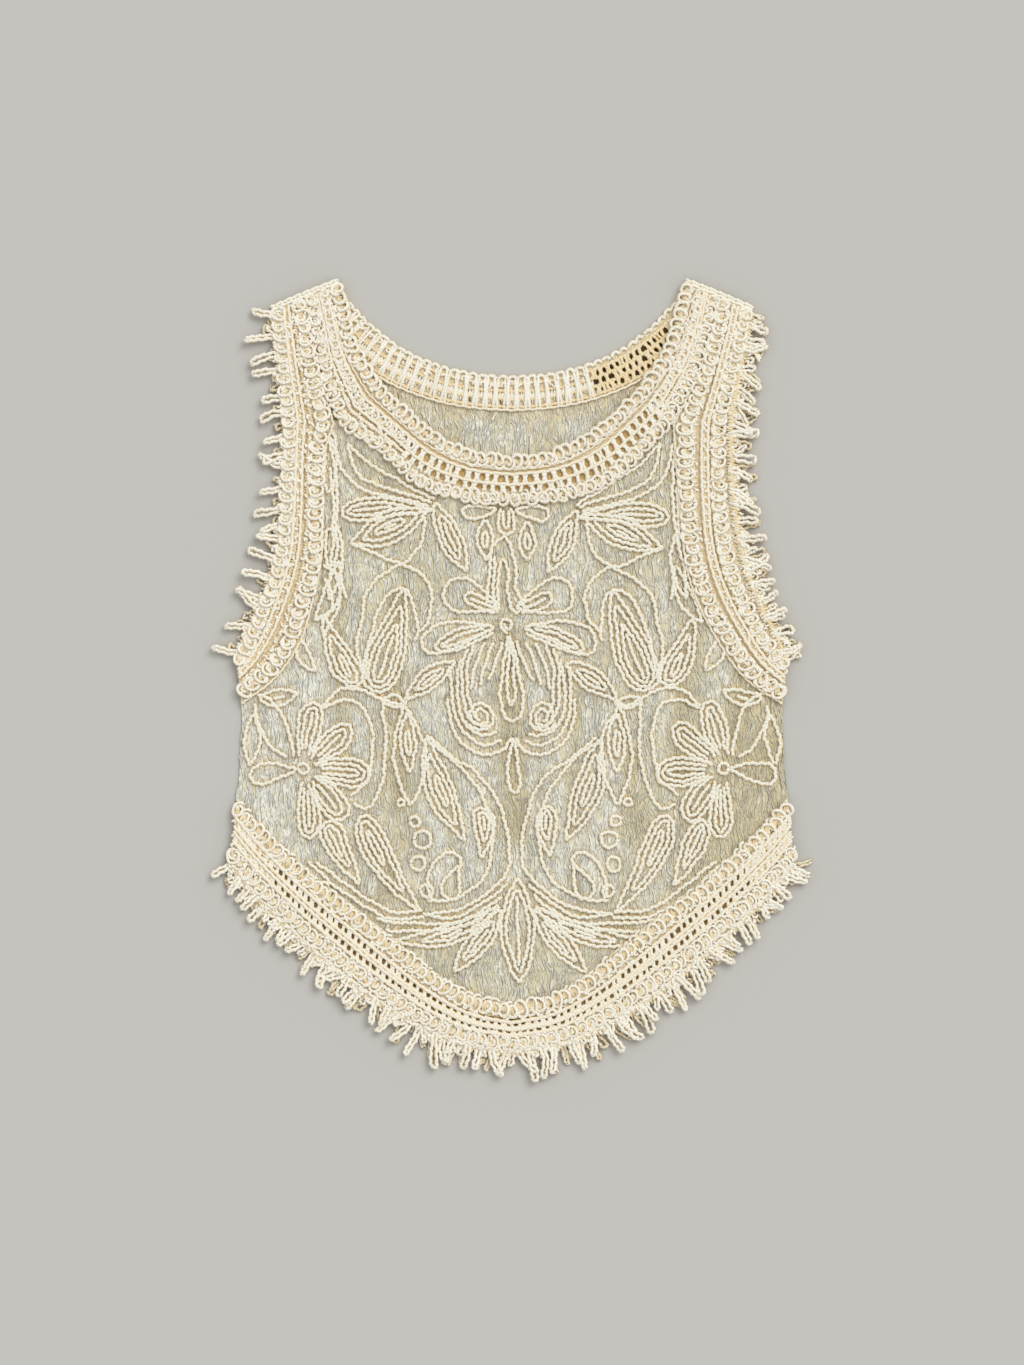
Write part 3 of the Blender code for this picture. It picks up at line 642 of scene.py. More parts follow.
print("front neckband")
neckbandFront = {
    "shells": {**roundStitch, "pitch": 6.6, "points": 28, "radius": 4.1, "begin": 0.15, "wander": 0.5,
               "turns": 1.35, "ring": 0.45, "windIn": 0.7, "jitter": 0.9, "stretch": 1.25, "lift": 0.8,
               "shingle": 1.2, "yarn": 1.5},
    "curls": {**roundStitch, "pitch": 7.2, "points": 29, "radius": 4.0, "uneven": 0.3, "ring": 0.35,
              "stretch": 1.2},
    "filling": {"pitch": 2.5, "reach": 3.4, "yarn": 1.1, "lift": 0.0},
    "knots": {**knotStitch, "pitch": 3.6, "reach": 3.4},
    "rails": {"step": 1.1, "yarn": 1.45, "stitch": 4.2, "swell": 0.05},
    "thinRail": {"step": 1.0, "yarn": 0.85, "stitch": 3.0, "swell": 0.1},
    "posts": {"pitch": 7.1, "yarn": 1.6, "apart": 1.4, "lean": 3.0, "uneven": 1.8, "lift": 0.1},
    # places across the band
    "fillingAt": (0.13, 0.84),
    "shellsAt": 0.125,
    "thinRailAt": [0.36, 0.31, 0.27, 0.265, 0.265, 0.265, 0.27, 0.31, 0.36],
    "innerRail": [0.42, 0.385, 0.365, 0.36, 0.36, 0.36, 0.365, 0.41, 0.46],
    "outerRail": [0.60, 0.575, 0.57, 0.57, 0.57, 0.57, 0.57, 0.575, 0.60],
    "postsTo": 0.74,
    "curlsAt": 0.865,
    "knotsAt": 0.83,
    "shade": (0.34, 0.76),
    "lowGround": (0.02, [0.44, 0.40, 0.36, 0.36, 0.36, 0.36, 0.36, 0.40, 0.44]),
    "highGround": (0.71, 0.94),
    "closedGround": (0.40, 0.94),
    # eyelets lie between these places along the band; beyond them it is worked without holes
    "open": (0.30, 0.80),
    "closedRow": 0.47,
    "closedRailAt": 0.67,
    "closedFilling": {"pitch": 2.4, "reach": 1.9, "yarn": 1.1, "lift": 0.1},
    "closedCurls": {**roundStitch, "pitch": 5.6, "points": 22, "radius": 2.8, "uneven": 0.3, "turns": 1.4,
                    "ring": 0.4, "jitter": 0.9, "stretch": 1.1, "shingle": 0.8, "yarn": 1.2},
    "runOn": 0.02,
}
row = neckbandFront
band = neckFront = Band(neckFrontRows, neckCorners, left=neckFrontLeft)
yarn = Yarn()
opening = row["open"]
for t in row["fillingAt"]:
    filling(band, yarn, t, row["filling"])
curls(band, yarn, row["shellsAt"], row["shells"])
rail(band, yarn, row["thinRailAt"], row["thinRail"], 0.5)
for t in (row["innerRail"], row["outerRail"]):
    rail(band, yarn, t, row["rails"])
posts(band, yarn, row["innerRail"], row["outerRail"], row["posts"], *opening)
posts(band, yarn, row["outerRail"], row["postsTo"], row["posts"], *opening, shift=0.5)
curls(band, yarn, row["curlsAt"], row["curls"])
knots(band, yarn, row["knotsAt"], row["knots"])
for start, end in ((0, opening[0]), (opening[1], 1)):
    for t in (row["closedRow"], row["closedRailAt"]):
        filling(band, yarn, t, row["closedFilling"], start, end)
        knots(band, yarn, t, row["knots"], start, end)
    start, end = max(start - row["runOn"], 0), min(end + row["runOn"], 1)
    curls(band, yarn, row["closedRow"], row["closedCurls"], start, end)
    rail(band, yarn, row["closedRailAt"], row["rails"], 0.5, start=start, end=end)
stitches = yarn.piece("neckband_front_stitches", creamYarn)
shaded = [(*row["shade"], *opening)]
# a tan sheet under the eyelets: painted shade in the holes
shade = ground("neckband_front_painted_shade", band, shaded, rows=1, drop=1.4, material=bandShade)
base = ground("neckband_front_ground", band, [
    (*row["lowGround"], 0, 1), (*row["closedGround"], 0, opening[0]), (*row["highGround"], *opening),
    (*row["closedGround"], opening[1], 1),
])
declareBand("neckband_front")


print("armhole bands")
armBand = {
    "shells": {**roundStitch, "pitch": 8.0, "radius": 4.2, "begin": 0.4, "wander": 0.8, "turns": 1.7,
               "windIn": 0.85, "jitter": 1.5},
    "curls": {**roundStitch, "pitch": 8.2, "points": 32, "radius": 4.5, "begin": 0.0, "turns": 1.8,
              "windIn": 0.85},
    "filling": {"pitch": 2.5, "reach": 4.4, "yarn": 1.0, "lift": 0.0},
    "rootFilling": {"pitch": 2.6, "reach": 4.0, "yarn": 1.1, "lift": 0.2},
    "knots": {**knotStitch, "pitch": 4.4, "reach": 4.4, "lift": 0.1, "yarn": 0.95},
    "stripFilling": {"pitch": 2.3, "reach": 1.6, "yarn": 1.0, "lift": 0.1},
    "stripKnots": {**knotStitch, "pitch": 3.4, "radius": 1.4, "reach": 1.2, "yarn": 1.05},
    "edgeRail": {"step": 1.0, "yarn": 1.1, "stitch": 3.2, "swell": 0.15},
    "rails": {"step": 1.1, "yarn": 1.5, "stitch": 3.4, "swell": 0.1},
    "rootFillingAt": 0.08,
    "rootKnotsAt": 0.07,
    "edgeRailAt": 0.975,
    "ground": (0.02, 0.99),
}
# places across each band, from the shoulder down to the underarm
armRowsAt = {
    "right": {
        "rails": ([0.42, 0.47, 0.44, 0.478, 0.526, 0.50, 0.47, 0.45],
                  [0.55, 0.585, 0.53, 0.58, 0.615, 0.60, 0.575, 0.56]),
        "shells": [0.19, 0.25, 0.28, 0.31, 0.35, 0.32, 0.30, 0.24],
        "curls": [0.83, 0.83, 0.78, 0.837, 0.863, 0.83, 0.80, 0.80],
        "strips": ([0.68, 0.70, 0.64, 0.70, 0.73, 0.71, 0.69, 0.67],
                   [0.31, 0.36, 0.36, 0.40, 0.44, 0.41, 0.38, 0.35],
                   [0.485, 0.527, 0.485, 0.529, 0.57, 0.55, 0.52, 0.505]),
    },
    "left": {
        "rails": ([0.34, 0.32, 0.30, 0.31, 0.33, 0.33, 0.33, 0.36],
                  [0.48, 0.46, 0.43, 0.47, 0.49, 0.49, 0.46, 0.46]),
        "shells": [0.17, 0.15, 0.13, 0.15, 0.15, 0.16, 0.16, 0.18],
        "curls": [0.80, 0.79, 0.78, 0.82, 0.82, 0.82, 0.80, 0.78],
        "strips": ([0.60, 0.58, 0.56, 0.61, 0.64, 0.63, 0.60, 0.60],
                   [0.27, 0.25, 0.23, 0.25, 0.26, 0.26, 0.26, 0.28],
                   [0.41, 0.39, 0.365, 0.39, 0.41, 0.41, 0.395, 0.41]),
    },
}
row = armBand
armFront = {}
for side, label, rows in ((1, "right", armholeRows), (-1, "left", armholeLeft)):
    at = armRowsAt[label]
    band = armFront[side] = Band(rows, armCorners, side)
    yarn = Yarn()
    filling(band, yarn, row["rootFillingAt"], row["rootFilling"])
    for t in (at["shells"], at["curls"]):
        filling(band, yarn, t, row["filling"])
        knots(band, yarn, t, row["knots"])
    for t in at["strips"]:
        filling(band, yarn, t, row["stripFilling"])
        knots(band, yarn, t, row["stripKnots"])
    for key in ("shells", "curls"):
        curls(band, yarn, at[key], row[key])
    for t in at["rails"]:
        rail(band, yarn, t, row["rails"])
    rail(band, yarn, row["edgeRailAt"], row["edgeRail"], 0.2)
    knots(band, yarn, row["rootKnotsAt"], row["knots"])
    stitches = yarn.piece(f"arm_band_front_{label}_stitches", creamYarn)
    base = ground(f"arm_band_front_{label}_ground", band, [(*row["ground"], 0, 1)])
    declareBand(f"arm_band_front_{label}")


print("front hem band")
hemBand = {
    "shells": {**roundStitch, "pitch": 7.6, "points": 32, "radius": 4.7, "begin": 0.5, "wander": 0.7,
               "turns": 2.0, "ring": 0.3, "jitter": 1.8, "stretch": 1.1, "lift": 0.8, "shingle": 0.9,
               "yarn": 1.2},
    "curls": {**roundStitch, "pitch": 6.8, "points": 29, "radius": 4.6, "begin": 0.35, "wander": 0.5,
              "turns": 1.35, "ring": 0.4, "windIn": 0.7, "jitter": 1.2, "stretch": 1.25, "lift": 0.8,
              "shingle": 1.2},
    "filling": {"pitch": 2.6, "reach": 4.6, "yarn": 1.1, "lift": 0.0},
    "rootFilling": {"pitch": 2.6, "reach": 3.4, "yarn": 1.2, "lift": -0.3},
    "knots": {**knotStitch, "pitch": 3.6, "reach": 2.6, "rise": 0.9},
    "rails": {"step": 1.1, "yarn": 1.65, "stitch": 3.4, "swell": 0.1},
    "posts": {"pitch": 6.0, "yarn": 1.45, "apart": 1.15, "lean": 2.2, "uneven": 1.4, "lift": 0.1},
    "fillingAt": (0.20, 0.84),
    "rootFillingAt": 0.03,
    "rootKnotsAt": 0.02,
    "rootRailAt": 0.06,
    "railsAt": [[0.38, 0.36, 0.355, 0.36, 0.38], [0.505, 0.48, 0.462, 0.48, 0.505],
                [0.58, 0.53, 0.49, 0.53, 0.58], [0.715, 0.66, 0.60, 0.66, 0.715]],
    "shellsAt": 0.215,
    "curlsAt": 0.85,
    "knotsAt": (0.09, 0.32, [0.78, 0.72, 0.68, 0.72, 0.78]),
    "shade": (0.34, 0.72),
    "grounds": [(0.02, 0.37, 0, 1), (0.66, 0.97, 0, 1)],
    "closed": 0.09,  # how much of each end is worked without holes
    "closedRows": (0.44, 0.64),
    "closedFilling": {"pitch": 2.4, "reach": 1.4, "yarn": 1.1, "lift": 0.1},
    "closedKnots": {**knotStitch, "pitch": 4.2, "radius": 1.3, "reach": 0.9, "lift": 0.2, "rise": 0.6,
                    "yarn": 1.0},
}
row = hemBand
band = hemFront = Band(hemRows)
yarn = Yarn()
for t in row["fillingAt"]:
    filling(band, yarn, t, row["filling"])
filling(band, yarn, row["rootFillingAt"], row["rootFilling"])
knots(band, yarn, row["rootKnotsAt"], row["knots"])
rail(band, yarn, row["rootRailAt"], row["rails"], 0.0)
for t in row["railsAt"]:
    rail(band, yarn, t, row["rails"])
for low, high, shift in ((0, 1, 0.0), (2, 3, 0.5)):
    posts(band, yarn, row["railsAt"][low], row["railsAt"][high], row["posts"], shift=shift)
curls(band, yarn, row["shellsAt"], row["shells"])
curls(band, yarn, row["curlsAt"], row["curls"])
for t in row["knotsAt"]:
    knots(band, yarn, t, row["knots"])
for start, end in ((0, row["closed"]), (1 - row["closed"], 1)):
    for t in row["closedRows"]:
        filling(band, yarn, t, row["closedFilling"], start, end)
        knots(band, yarn, t, row["closedKnots"], start, end)
stitches = yarn.piece("hem_band_front_stitches", creamYarn)
# a tan sheet under the eyelets: painted shade in the holes
shade = ground("hem_band_front_painted_shade", band, [(*row["shade"], 0, 1)], rows=1, drop=1.4, material=hemShade)
base = ground("hem_band_front_ground", band, row["grounds"], drop=0.3)
declareBand("hem_band_front")


print("back neckband")
neckbandBack = {
    "edge": {**roundStitch, "pitch": 7.3, "points": 14, "radius": 3.1, "uneven": 0.12, "begin": 0.5,
             "wander": 0.05, "turns": 0.5, "ring": 0.9, "windIn": 0.0, "jitter": 0.3, "stretch": 0.8,
             "lift": 0.4, "shingle": 0.2, "yarn": 1.5},
    "filling": {"pitch": 2.3, "reach": 5.0, "yarn": 1.0, "lift": 0.1},
    "posts": {"pitch": 7.3, "yarn": 1.5, "apart": 1.35, "lean": 1.8, "uneven": 0.9, "lift": 0.5},
    "rails": {"step": 1.0, "yarn": 1.15, "stitch": 4.0, "swell": 0.06},
    "knots": {**knotStitch, "pitch": 3.4, "reach": 2.6, "lift": 0.5, "rise": 0.7, "yarn": 1.0},
    "netRails": {"step": 1.2, "yarn": 1.45, "stitch": 3.5, "swell": 0.3},
    "netPosts": {"pitch": 5.4, "yarn": 1.4, "apart": 1.1, "lean": 3.2, "uneven": 1.8, "lift": 0.3},
    "edgeAt": 0.12,
    "fillingAt": 0.60,
    "seamRailAt": 0.97,
    "posted": (0.04, 0.95),
    "knotsAt": 0.26,
    "netFrom": 0.68,  # from here on the band is worked as an open net
    "netRailsAt": [0.22, 0.44, 0.66, 0.88],
    "netShade": (0.24, 0.90),
    "ground": (0.05, 0.98),
    "netGrounds": [(0.05, 0.24), (0.88, 0.98)],
}
row = neckbandBack
band = neckBack = Band(neckBackRows, backNeckCorners, floor=0.0, swell=0.7)
yarn = Yarn()
solid, net = (0, row["netFrom"]), (row["netFrom"], 1)
curls(band, yarn, row["edgeAt"], row["edge"])
filling(band, yarn, row["fillingAt"], row["filling"], *solid, 0.0)
rail(band, yarn, row["seamRailAt"], row["rails"], 0.6)
rail(band, yarn, row["netRailsAt"][0], row["netRails"], 0.1, 0.25)
posts(band, yarn, *row["posted"], row["posts"], *solid)
knots(band, yarn, row["knotsAt"], row["knots"], *solid)
for number, (low, high) in enumerate(zip(row["netRailsAt"], row["netRailsAt"][1:])):
    rail(band, yarn, high, row["netRails"], 0.1, 0.3)
    offset = 0.5 * (number % 2) * row["netPosts"]["pitch"] / band.length
    # the net's stitches take more painted shade (sink), as under the strap
    posts(band, yarn, low, high, row["netPosts"], row["netFrom"] + offset, 1.0, sink=0.3)
stitches = yarn.piece("neckband_back_stitches", creamYarn)
shaded = [(*row["netShade"], *net)]
# a dark sheet under the net: painted shade under the strap
shade = ground("neckband_back_painted_shade", band, shaded, rows=1, drop=0.85, material=holeShade)
base = ground("neckband_back_ground", band, [
    (*row["ground"], *solid), *((*strip, *net) for strip in row["netGrounds"]),
], drop=0.3)
declareBand("neckband_back")


# the back's armhole and hem bands lie under the front's and show at the edges and through the eyelets
print("back bands")
backBand = {
    "shells": {**roundStitch, "pitch": 7.6, "points": 16, "radius": 3.2, "uneven": 0.2, "begin": 0.5,
               "wander": 0.6, "turns": 1.1, "ring": 0.7, "windIn": 0.6, "jitter": 0.8, "stretch": 1.1,
               "lift": 0.3, "shingle": 0.3, "yarn": 1.1},
    "rails": {"step": 1.4, "yarn": 1.1, "stitch": 3.6, "swell": 0.12},
    "shellsAt": 0.13,
    "railsAt": (0.4, 0.62, 0.96),
    "ground": (0.02, 0.98),
}
row = backBand
backBands = {}
for side, node, rows, corners in (
    (1, "arm_band_back_right", armholeRows, armCorners),
    (-1, "arm_band_back_left", armholeLeft, armCorners),
    (0, "hem_band_back", hemRows, ()),
):
    band = backBands[side] = Band(rows, corners, side, floor=0.0, swell=0.7)
    yarn = Yarn(4)
    curls(band, yarn, row["shellsAt"], row["shells"])
    for t in row["railsAt"]:
        rail(band, yarn, t, row["rails"], 0.2)
    # the back's bands are in the shaded copy of the yarn: painted shade
    stitches = yarn.piece(node + "_stitches", shadedYarn)
    base = ground(node + "_ground", band, [(*row["ground"], 0, 1)], drop=0.4)
    declareBand(node)


# gauze panels: crinkled cloth, tucked under the bands and rolled down at the side seams
gauzePanel = {
    "floor": 2.75,
    "crinkle": 0.7,      # height of the crinkles
    "pitch": 2.6,        # half their spacing
    "run": 11.0,         # how far one runs down the cloth
    "wander": 3.0,
    "fine": 0.35,        # height of the small creases between them
    "halfWidth": 210,
    "columnStep": 0.95,
    "rowStep": 3.4,
    "tuck": 0.8,         # how far across the bands the cloth reaches, as their t
    "underBand": 3.3,    # its greatest height there
    "rollWidth": 14.0,
    "rollTo": 1.5,
    "waviness": 1.0,     # of the side seams
    "waveReach": 12,
    "sideSlack": 2,      # how far the cloth goes on past the side line
    "pucker": 0.55,      # how deep the stitches pull the cloth, and how far out that goes
    "puckerReach": 2.6,
    "pullReach": 5.5,
    "shadeReach": 1.4,
    "lightFrom": 110,    # from here outwards the cloth is painted lighter on the left and darker on the right, painted light and shade as if it turned to the light or away from it
    "lightOver": 75,
    "lightTilt": 1.1,
}
folds = [  # start, end, width, height: ridges, then troughs
    ((72, -30), (62, -150), 13, 1.7), ((-64, 40), (-58, -150), 13, 1.5), ((158, 30), (140, -60), 12, 1.5),
    ((-160, 26), (-146, -70), 13, 1.4), ((32, 110), (24, -180), 13, 1.2), ((-34, 110), (-28, -170), 12, 1.2),
    ((112, 70), (104, -60), 9, 0.9), ((-108, 80), (-112, -60), 10, 1.0), ((60, 70), (56, 5), 8, 0.7),
    ((-3, 34), (4, -115), 9, -1.1), ((88, -55), (93, -118), 9, -0.9), ((-88, 60), (-84, -90), 8, -0.9),
    ((-46, 20), (-44, -120), 6, -0.6), ((48, 0), (44, -120), 6, -0.6), ((-130, 60), (-128, -90), 7, -0.8),
    ((128, 20), (122, -60), 7, -0.7), ((0, -130), (-1, -205), 12, 0.6), ((-84, -120), (-98, -165), 8, -0.7),
]
grains = [Grain(seed) for seed in (3, 5, 8, 13, 21)]


def awayFrom(x, y, start, end):
    # distances from the line between two points
    a, run = np.array(start, float), np.array(end, float) - np.array(start, float)
    share = np.clip(((x - a[0]) * run[0] + (y - a[1]) * run[1]) / (run @ run), 0, 1)
    return np.hypot(x - a[0] - share * run[0], y - a[1] - share * run[1])


def sideWidth(y):
    x, rows = np.array(sideLine, float).T
    return np.interp(-y, -rows, x)


def fromSide(x, y, reach):
    # 0 at the side seam, 1 from that reach inwards
    return softStep((sideWidth(y) - np.abs(x)) / reach)


def foldHeight(x, y):
    return sum(height * np.exp(-(awayFrom(x, y, a, b) / width) ** 2) for a, b, width, height in folds)


def frontHeight(x, y):
    height = gauzePanel["floor"] + foldHeight(x, y)
    return gauzePanel["rollTo"] + (height - gauzePanel["rollTo"]) * fromSide(x, y, gauzePanel["rollWidth"])


def crinkled(x, y, row):
    # ridge heights from 0 to 1: long narrow creases that run down the cloth and wander
    g = grains
    bent = x + row["wander"] * (2 * g[0](x / 13, y / 17) - 1) + 1.2 * (2 * g[1](x / 5, y / 9 + 40) - 1)
    broad = (1 - np.abs(2 * g[2](bent / row["pitch"], y / row["run"] + 9) - 1)) ** 1.4
    thin = g[3](bent / (row["pitch"] * 0.5), y / (row["run"] * 0.45) + 31)
    gather = 0.55 + 0.75 * g[4](x / 16 + 7, y / 26)
    return broad * gather, thin


def insideOf(x, y, outline):
    inside = np.zeros(np.shape(x), bool)
    for (ax, ay), (bx, by) in zip(outline, np.roll(outline, -1, axis=0)):
        if ay != by:
            inside ^= ((ay > y) != (by > y)) & (x < (bx - ax) * (y - ay) / (by - ay) + ax)
    return inside


def nearest(line, spot):
    return np.argmin(np.linalg.norm(line - spot, axis=1))


def panelOutline(neck, arms, hem, t, tips):
    # each half runs from the neck's middle round to the hem's, by the tip between the neck and armhole bands
    halves = []
    neckLine, hemLine = neck.spot(neck.q, t), hem.spot(hem.q, t)
    middle = np.argmin(np.abs(neckLine[:, 0]))
    for side, tip in zip((1, -1), tips):
        arm, fromTip = arms[side], nearest(neck.seam, tip)
        upper = neckLine[middle : fromTip + 1] if fromTip > middle else neckLine[fromTip : middle + 1][::-1]
        outer = arm.spot(arm.q[nearest(arm.seam, tip) :], t)
        edge = np.array([(side * (x + gauzePanel["sideSlack"]), y) for x, y in sideLine], float)
        lower = hemLine[side * hemLine[:, 0] >= 0]
        lower = lower[np.argsort(-side * lower[:, 0])]
        halves.append(np.vstack([upper, outer[::4], edge, lower[::4]]))
    return np.vstack([halves[0], halves[1][::-1]])


def clothGrid(outline, row):
    top, bottom, step = outline[:, 1].max(), outline[:, 1].min(), row["rowStep"]
    y = np.linspace(bottom - step, top + step, round((top - bottom) / step) + 3)
    u = np.linspace(-1, 1, round(2 * row["halfWidth"] / row["columnStep"]) + 1)
    u, y = np.meshgrid(u, y)
    x = u * sideWidth(y)
    rows, columns = x.shape
    a = (np.arange(rows - 1)[:, None] * columns + np.arange(columns - 1)).ravel()
    quads = np.stack([a, a + 1, a + 1 + columns, a + columns], 1)
    x, y = x.ravel(), y.ravel()
    quads = quads[insideOf(x[quads].mean(1), y[quads].mean(1), outline)]
    used, places = np.unique(quads, return_inverse=True)
    return x[used], y[used], places.reshape(quads.shape)


def distancesTo(spots, x, y):
    tree = KDTree(len(spots))
    for index, (a, b) in enumerate(spots):
        tree.insert((a, b, 0), index)
    tree.balance()
    return np.array([tree.find((a, b, 0))[2] for a, b in zip(x, y)])


frontTips, backTips = ((120, 193), (-133, 194)), ((150, 266), (-150, 266))
seamOutline = panelOutline(neckFront, armFront, hemFront, 0.97, frontTips)


# raised cord flowers and leaves, sewn on the front
print("cord flowers and leaves")
# rings: outlines one inside another; bend: how far the middle bows to the left of base to tip
Motif = namedtuple("Motif", "base tip width rings bend", defaults=(2, 0))
leaves = [
    Motif((48, 130), (27, 83), 17, 2, 1), Motif((11, 121), (12, 92), 12, 2),
    Motif((54, 125), (112, 101), 22, 3, -1), Motif((131, 62), (122, 112), 9, 1, 2),
    Motif((143, 46), (123, 88), 12, 1, 4), Motif((40, 15), (78, -13), 15, 2, 2),
    Motif((65, -42), (41, -118), 20, 3, 4), Motif((80, -18), (80, -92), 24, 1, -2),
    Motif((78, -23), (79.5, -68), 12, 2), Motif((18, -168), (97, -194), 14, 2, -8),
    Motif((16, -170), (55, -217), 16, 2, -1), Motif((193, -24), (198, -62), 11, 1),
    Motif((157, 34), (145, 9), 10, 1, 2), Motif((188, -12), (159, -7), 11, 2, 2),
]
petals = [
    Motif((3, 56), (45, 68), 25, 1, 1), Motif((6, 55), (30, 64.5), 10, 2, 0),
    Motif((9, 41), (63, 27), 21, 1, 3), Motif((11, 40), (53, 25.5), 13, 2, 1),
    Motif((153, -58), (122, -33), 17, 2, 1), Motif((157, -56), (146, -15), 17, 2, -1),
    Motif((151, -66), (109, -68), 21, 3), Motif((152, -73), (130, -102), 19, 2, -1),
    Motif((156, -74), (157, -116), 16, 2), Motif((163, -65), (198, -71), 15, 1, 1),
]
buds = [
    Motif((75, 70), (103, -6), 28, 3, -2), Motif((136, 49), (114, -2), 20, 3, 3),
    Motif((50, 124), (118, 123), 17, 2, 3), Motif((2, 130), (27, 125), 10, 1),
    Motif((29, -131), (26.5, -94), 15, 2, 2), Motif((78, -172), (117, -100), 20, 3, -4),
    Motif((121, -152), (144, -104), 17, 2, -1), Motif((46, -138), (56, -162), 14, 1, 1),
]
centreLeaves = [Motif((0, -226), (0, -147), 25, 2)]
centrePetals = [
    Motif((0, 35), (0, -29), 17, 1), Motif((0.5, 31), (0, -16), 6, 1), Motif((0, -42), (0, -83), 9, 1),
    Motif((0, 131), (0, 112), 13, 2),
]
rings = [  # centre, radius
    ((158.3, -64.7), 3.8), ((87, -90), 2.8), ((77, -104), 3.8), ((72.5, -118), 6.2), ((76, -136), 5.4),
    ((72, -156), 4.4),
]
coils = [((23, -25), 11.5, 2.2, -30)]  # centre, radius, turns, where it starts, in degrees
centreCoils = [((-1, 43), 5.5, 1.4, -80)]
centreVines = [
    [(-17, 59), (-15, 70), (-13.6, 80), (-13.3, 90), (-10.5, 101), (-3, 110), (2, 105), (4.5, 97),
     (6.1, 88), (6, 78), (6.2, 70), (9, 61), (12, 57)],
    [(-9.8, 95), (-10.2, 80), (-11, 66), (-10.8, 57), (-9, 52.5), (-7.3, 55), (-7.3, 70), (-6.8, 83),
     (-4, 92.5), (-1, 88), (0.3, 78), (0, 66), (1.7, 56), (5, 52.5), (9, 54)],
]
leftVines = [  # loops beside the left armhole that the right side hasn't got
    [(-137, 191), (-132.5, 184), (-131.5, 165), (-134, 148), (-138, 143), (-140.5, 150), (-140, 170),
     (-139.5, 184), (-137, 191)],
    [(-136.5, 116), (-132, 110), (-131, 98), (-134, 89), (-138.5, 88), (-140, 99), (-139, 112),
     (-136.5, 116)],
    [(-142.5, 88), (-134, 82), (-129, 70), (-130, 56), (-136, 44), (-141, 34)],
    [(-141, 78), (-136, 72), (-134.5, 62), (-137.5, 52), (-142, 44)],
]
vines = [
    [(56, 120), (60, 101), (75, 87), (96, 94), (113, 101)],
    [(75, 86.5), (62, 80), (55, 66), (57, 48), (66, 37), (68, 31)],
    [(75, 86.5), (92, 78), (104, 64), (109, 44), (112.5, 23), (107, 2)],
    [(66, 36), (67.5, 48), (68.5, 58), (72, 67), (79, 69.5), (88, 64), (95, 54), (100, 41), (105, 24),
     (108, 8)],
    [(64, -40), (46, -56), (27, -69), (14, -90), (8.3, -114), (9.5, -139), (25, -157), (46, -169),
     (74, -174)],
    [(62, -45), (42, -62), (27, -82), (20, -106), (20, -122), (26, -143), (38, -155), (56, -163), (72, -163)],
    [(45.5, -139), (45, -132), (52, -127.5), (60, -131), (67, -141), (71, -152), (69, -163)],
    [(77, -13), (84, -17), (96, -13), (113, -5), (128, -6), (141, -18)],
    [(77, -16), (87, -10), (97, -14), (86, -19), (77, -16)],
    [(96, -15), (96, -45), (99, -70), (106, -88), (113, -94), (123, -91)],
    [(105, -40), (107, -27), (113, -16), (124, -13), (141, -19)],
    [(105, -40), (106, -56), (111, -72), (120, -81), (125, -85)],
    [(3, 31), (7, 22), (12, 10), (16, 1)],
    [(10, 30), (15, 20), (19, 9), (21.5, -2)],
    [(17, 30), (22, 19), (25.5, 9), (29, -5)],
    [(25, 29), (29, 17), (31, 6), (31.5, -8), (30, -19), (25, -26)],
    [(30, 26), (34.5, 14), (35.5, 0), (35.5, -12), (33, -24), (26, -32), (17, -33)],
    [(36, 18), (39, 2), (39.5, -16), (36, -29), (29, -37), (20, -40), (12, -38)],
    [(43.5, 12), (44, -6), (43.5, -20), (39, -33), (32, -42), (20, -46.5), (9, -43)],
    [(48, -12), (46.5, -28), (41, -41), (33, -50), (20, -54), (8, -50), (2, -42)],
    [(75, -176), (98, -177), (118, -168), (140, -152), (160, -134)],
    [(76, -171), (96, -172), (116, -163), (134, -149), (154, -134)],
    [(11.5, -151), (19, -158), (28, -164), (37, -169.5), (45, -174), (57, -176), (67, -175), (76, -173)],
    [(15, -160), (23, -166), (32, -171.5), (40, -176.5), (50, -180), (62, -181), (78, -181), (96, -180),
     (110, -176)],
    [(18, -167), (30, -174), (40, -180), (54, -184.5), (70, -186), (90, -187), (104, -186)],
    [(165, -55), (170, -30), (178, -14), (190, -8)],
    [(170, -56), (182, -48), (190, -30), (192, -16)],
    [(118, 62), (121, 72), (124, 80)],
    [(48, 133), (68, 145), (86, 157), (100, 167), (109, 178)],
    [(50, 131), (66, 137), (88, 144), (102, 152), (108, 163), (110, 180)],
    [(52, 128), (72, 133), (92, 138), (108, 147), (117, 161), (121, 177), (126, 194)],
    [(124, 104), (121, 138), (121.5, 162), (124.5, 188)],
    [(126, 100), (124.5, 130), (124.5, 160)],
]
cord = {
    "yarn": 1.55,
    "step": 0.85,
    "stitch": 3.1,
    "swell": 0.19,
    "sway": 0.42,
    "straightTo": 75,   # shorter cords than this sway less
    "gap": 4.0,         # between a motif's outlines
    "foot": 0.34,       # how wide a petal is at its foot
    "closeUp": 0.7,     # an outline stops where it is narrower than this
    "single": 1.6,      # and is one line where it is nowhere wider than this
    "roomy": 2.6,       # a line down the middle goes where there is this much room
    "wander": 2.0,
    "sink": 0.75,       # how deep it is sewn into the cloth
    "tuckedTo": 2.2,    # its height where it ends under a band
    "lift": 5.0,        # how much higher the left half lies beside the neck
}


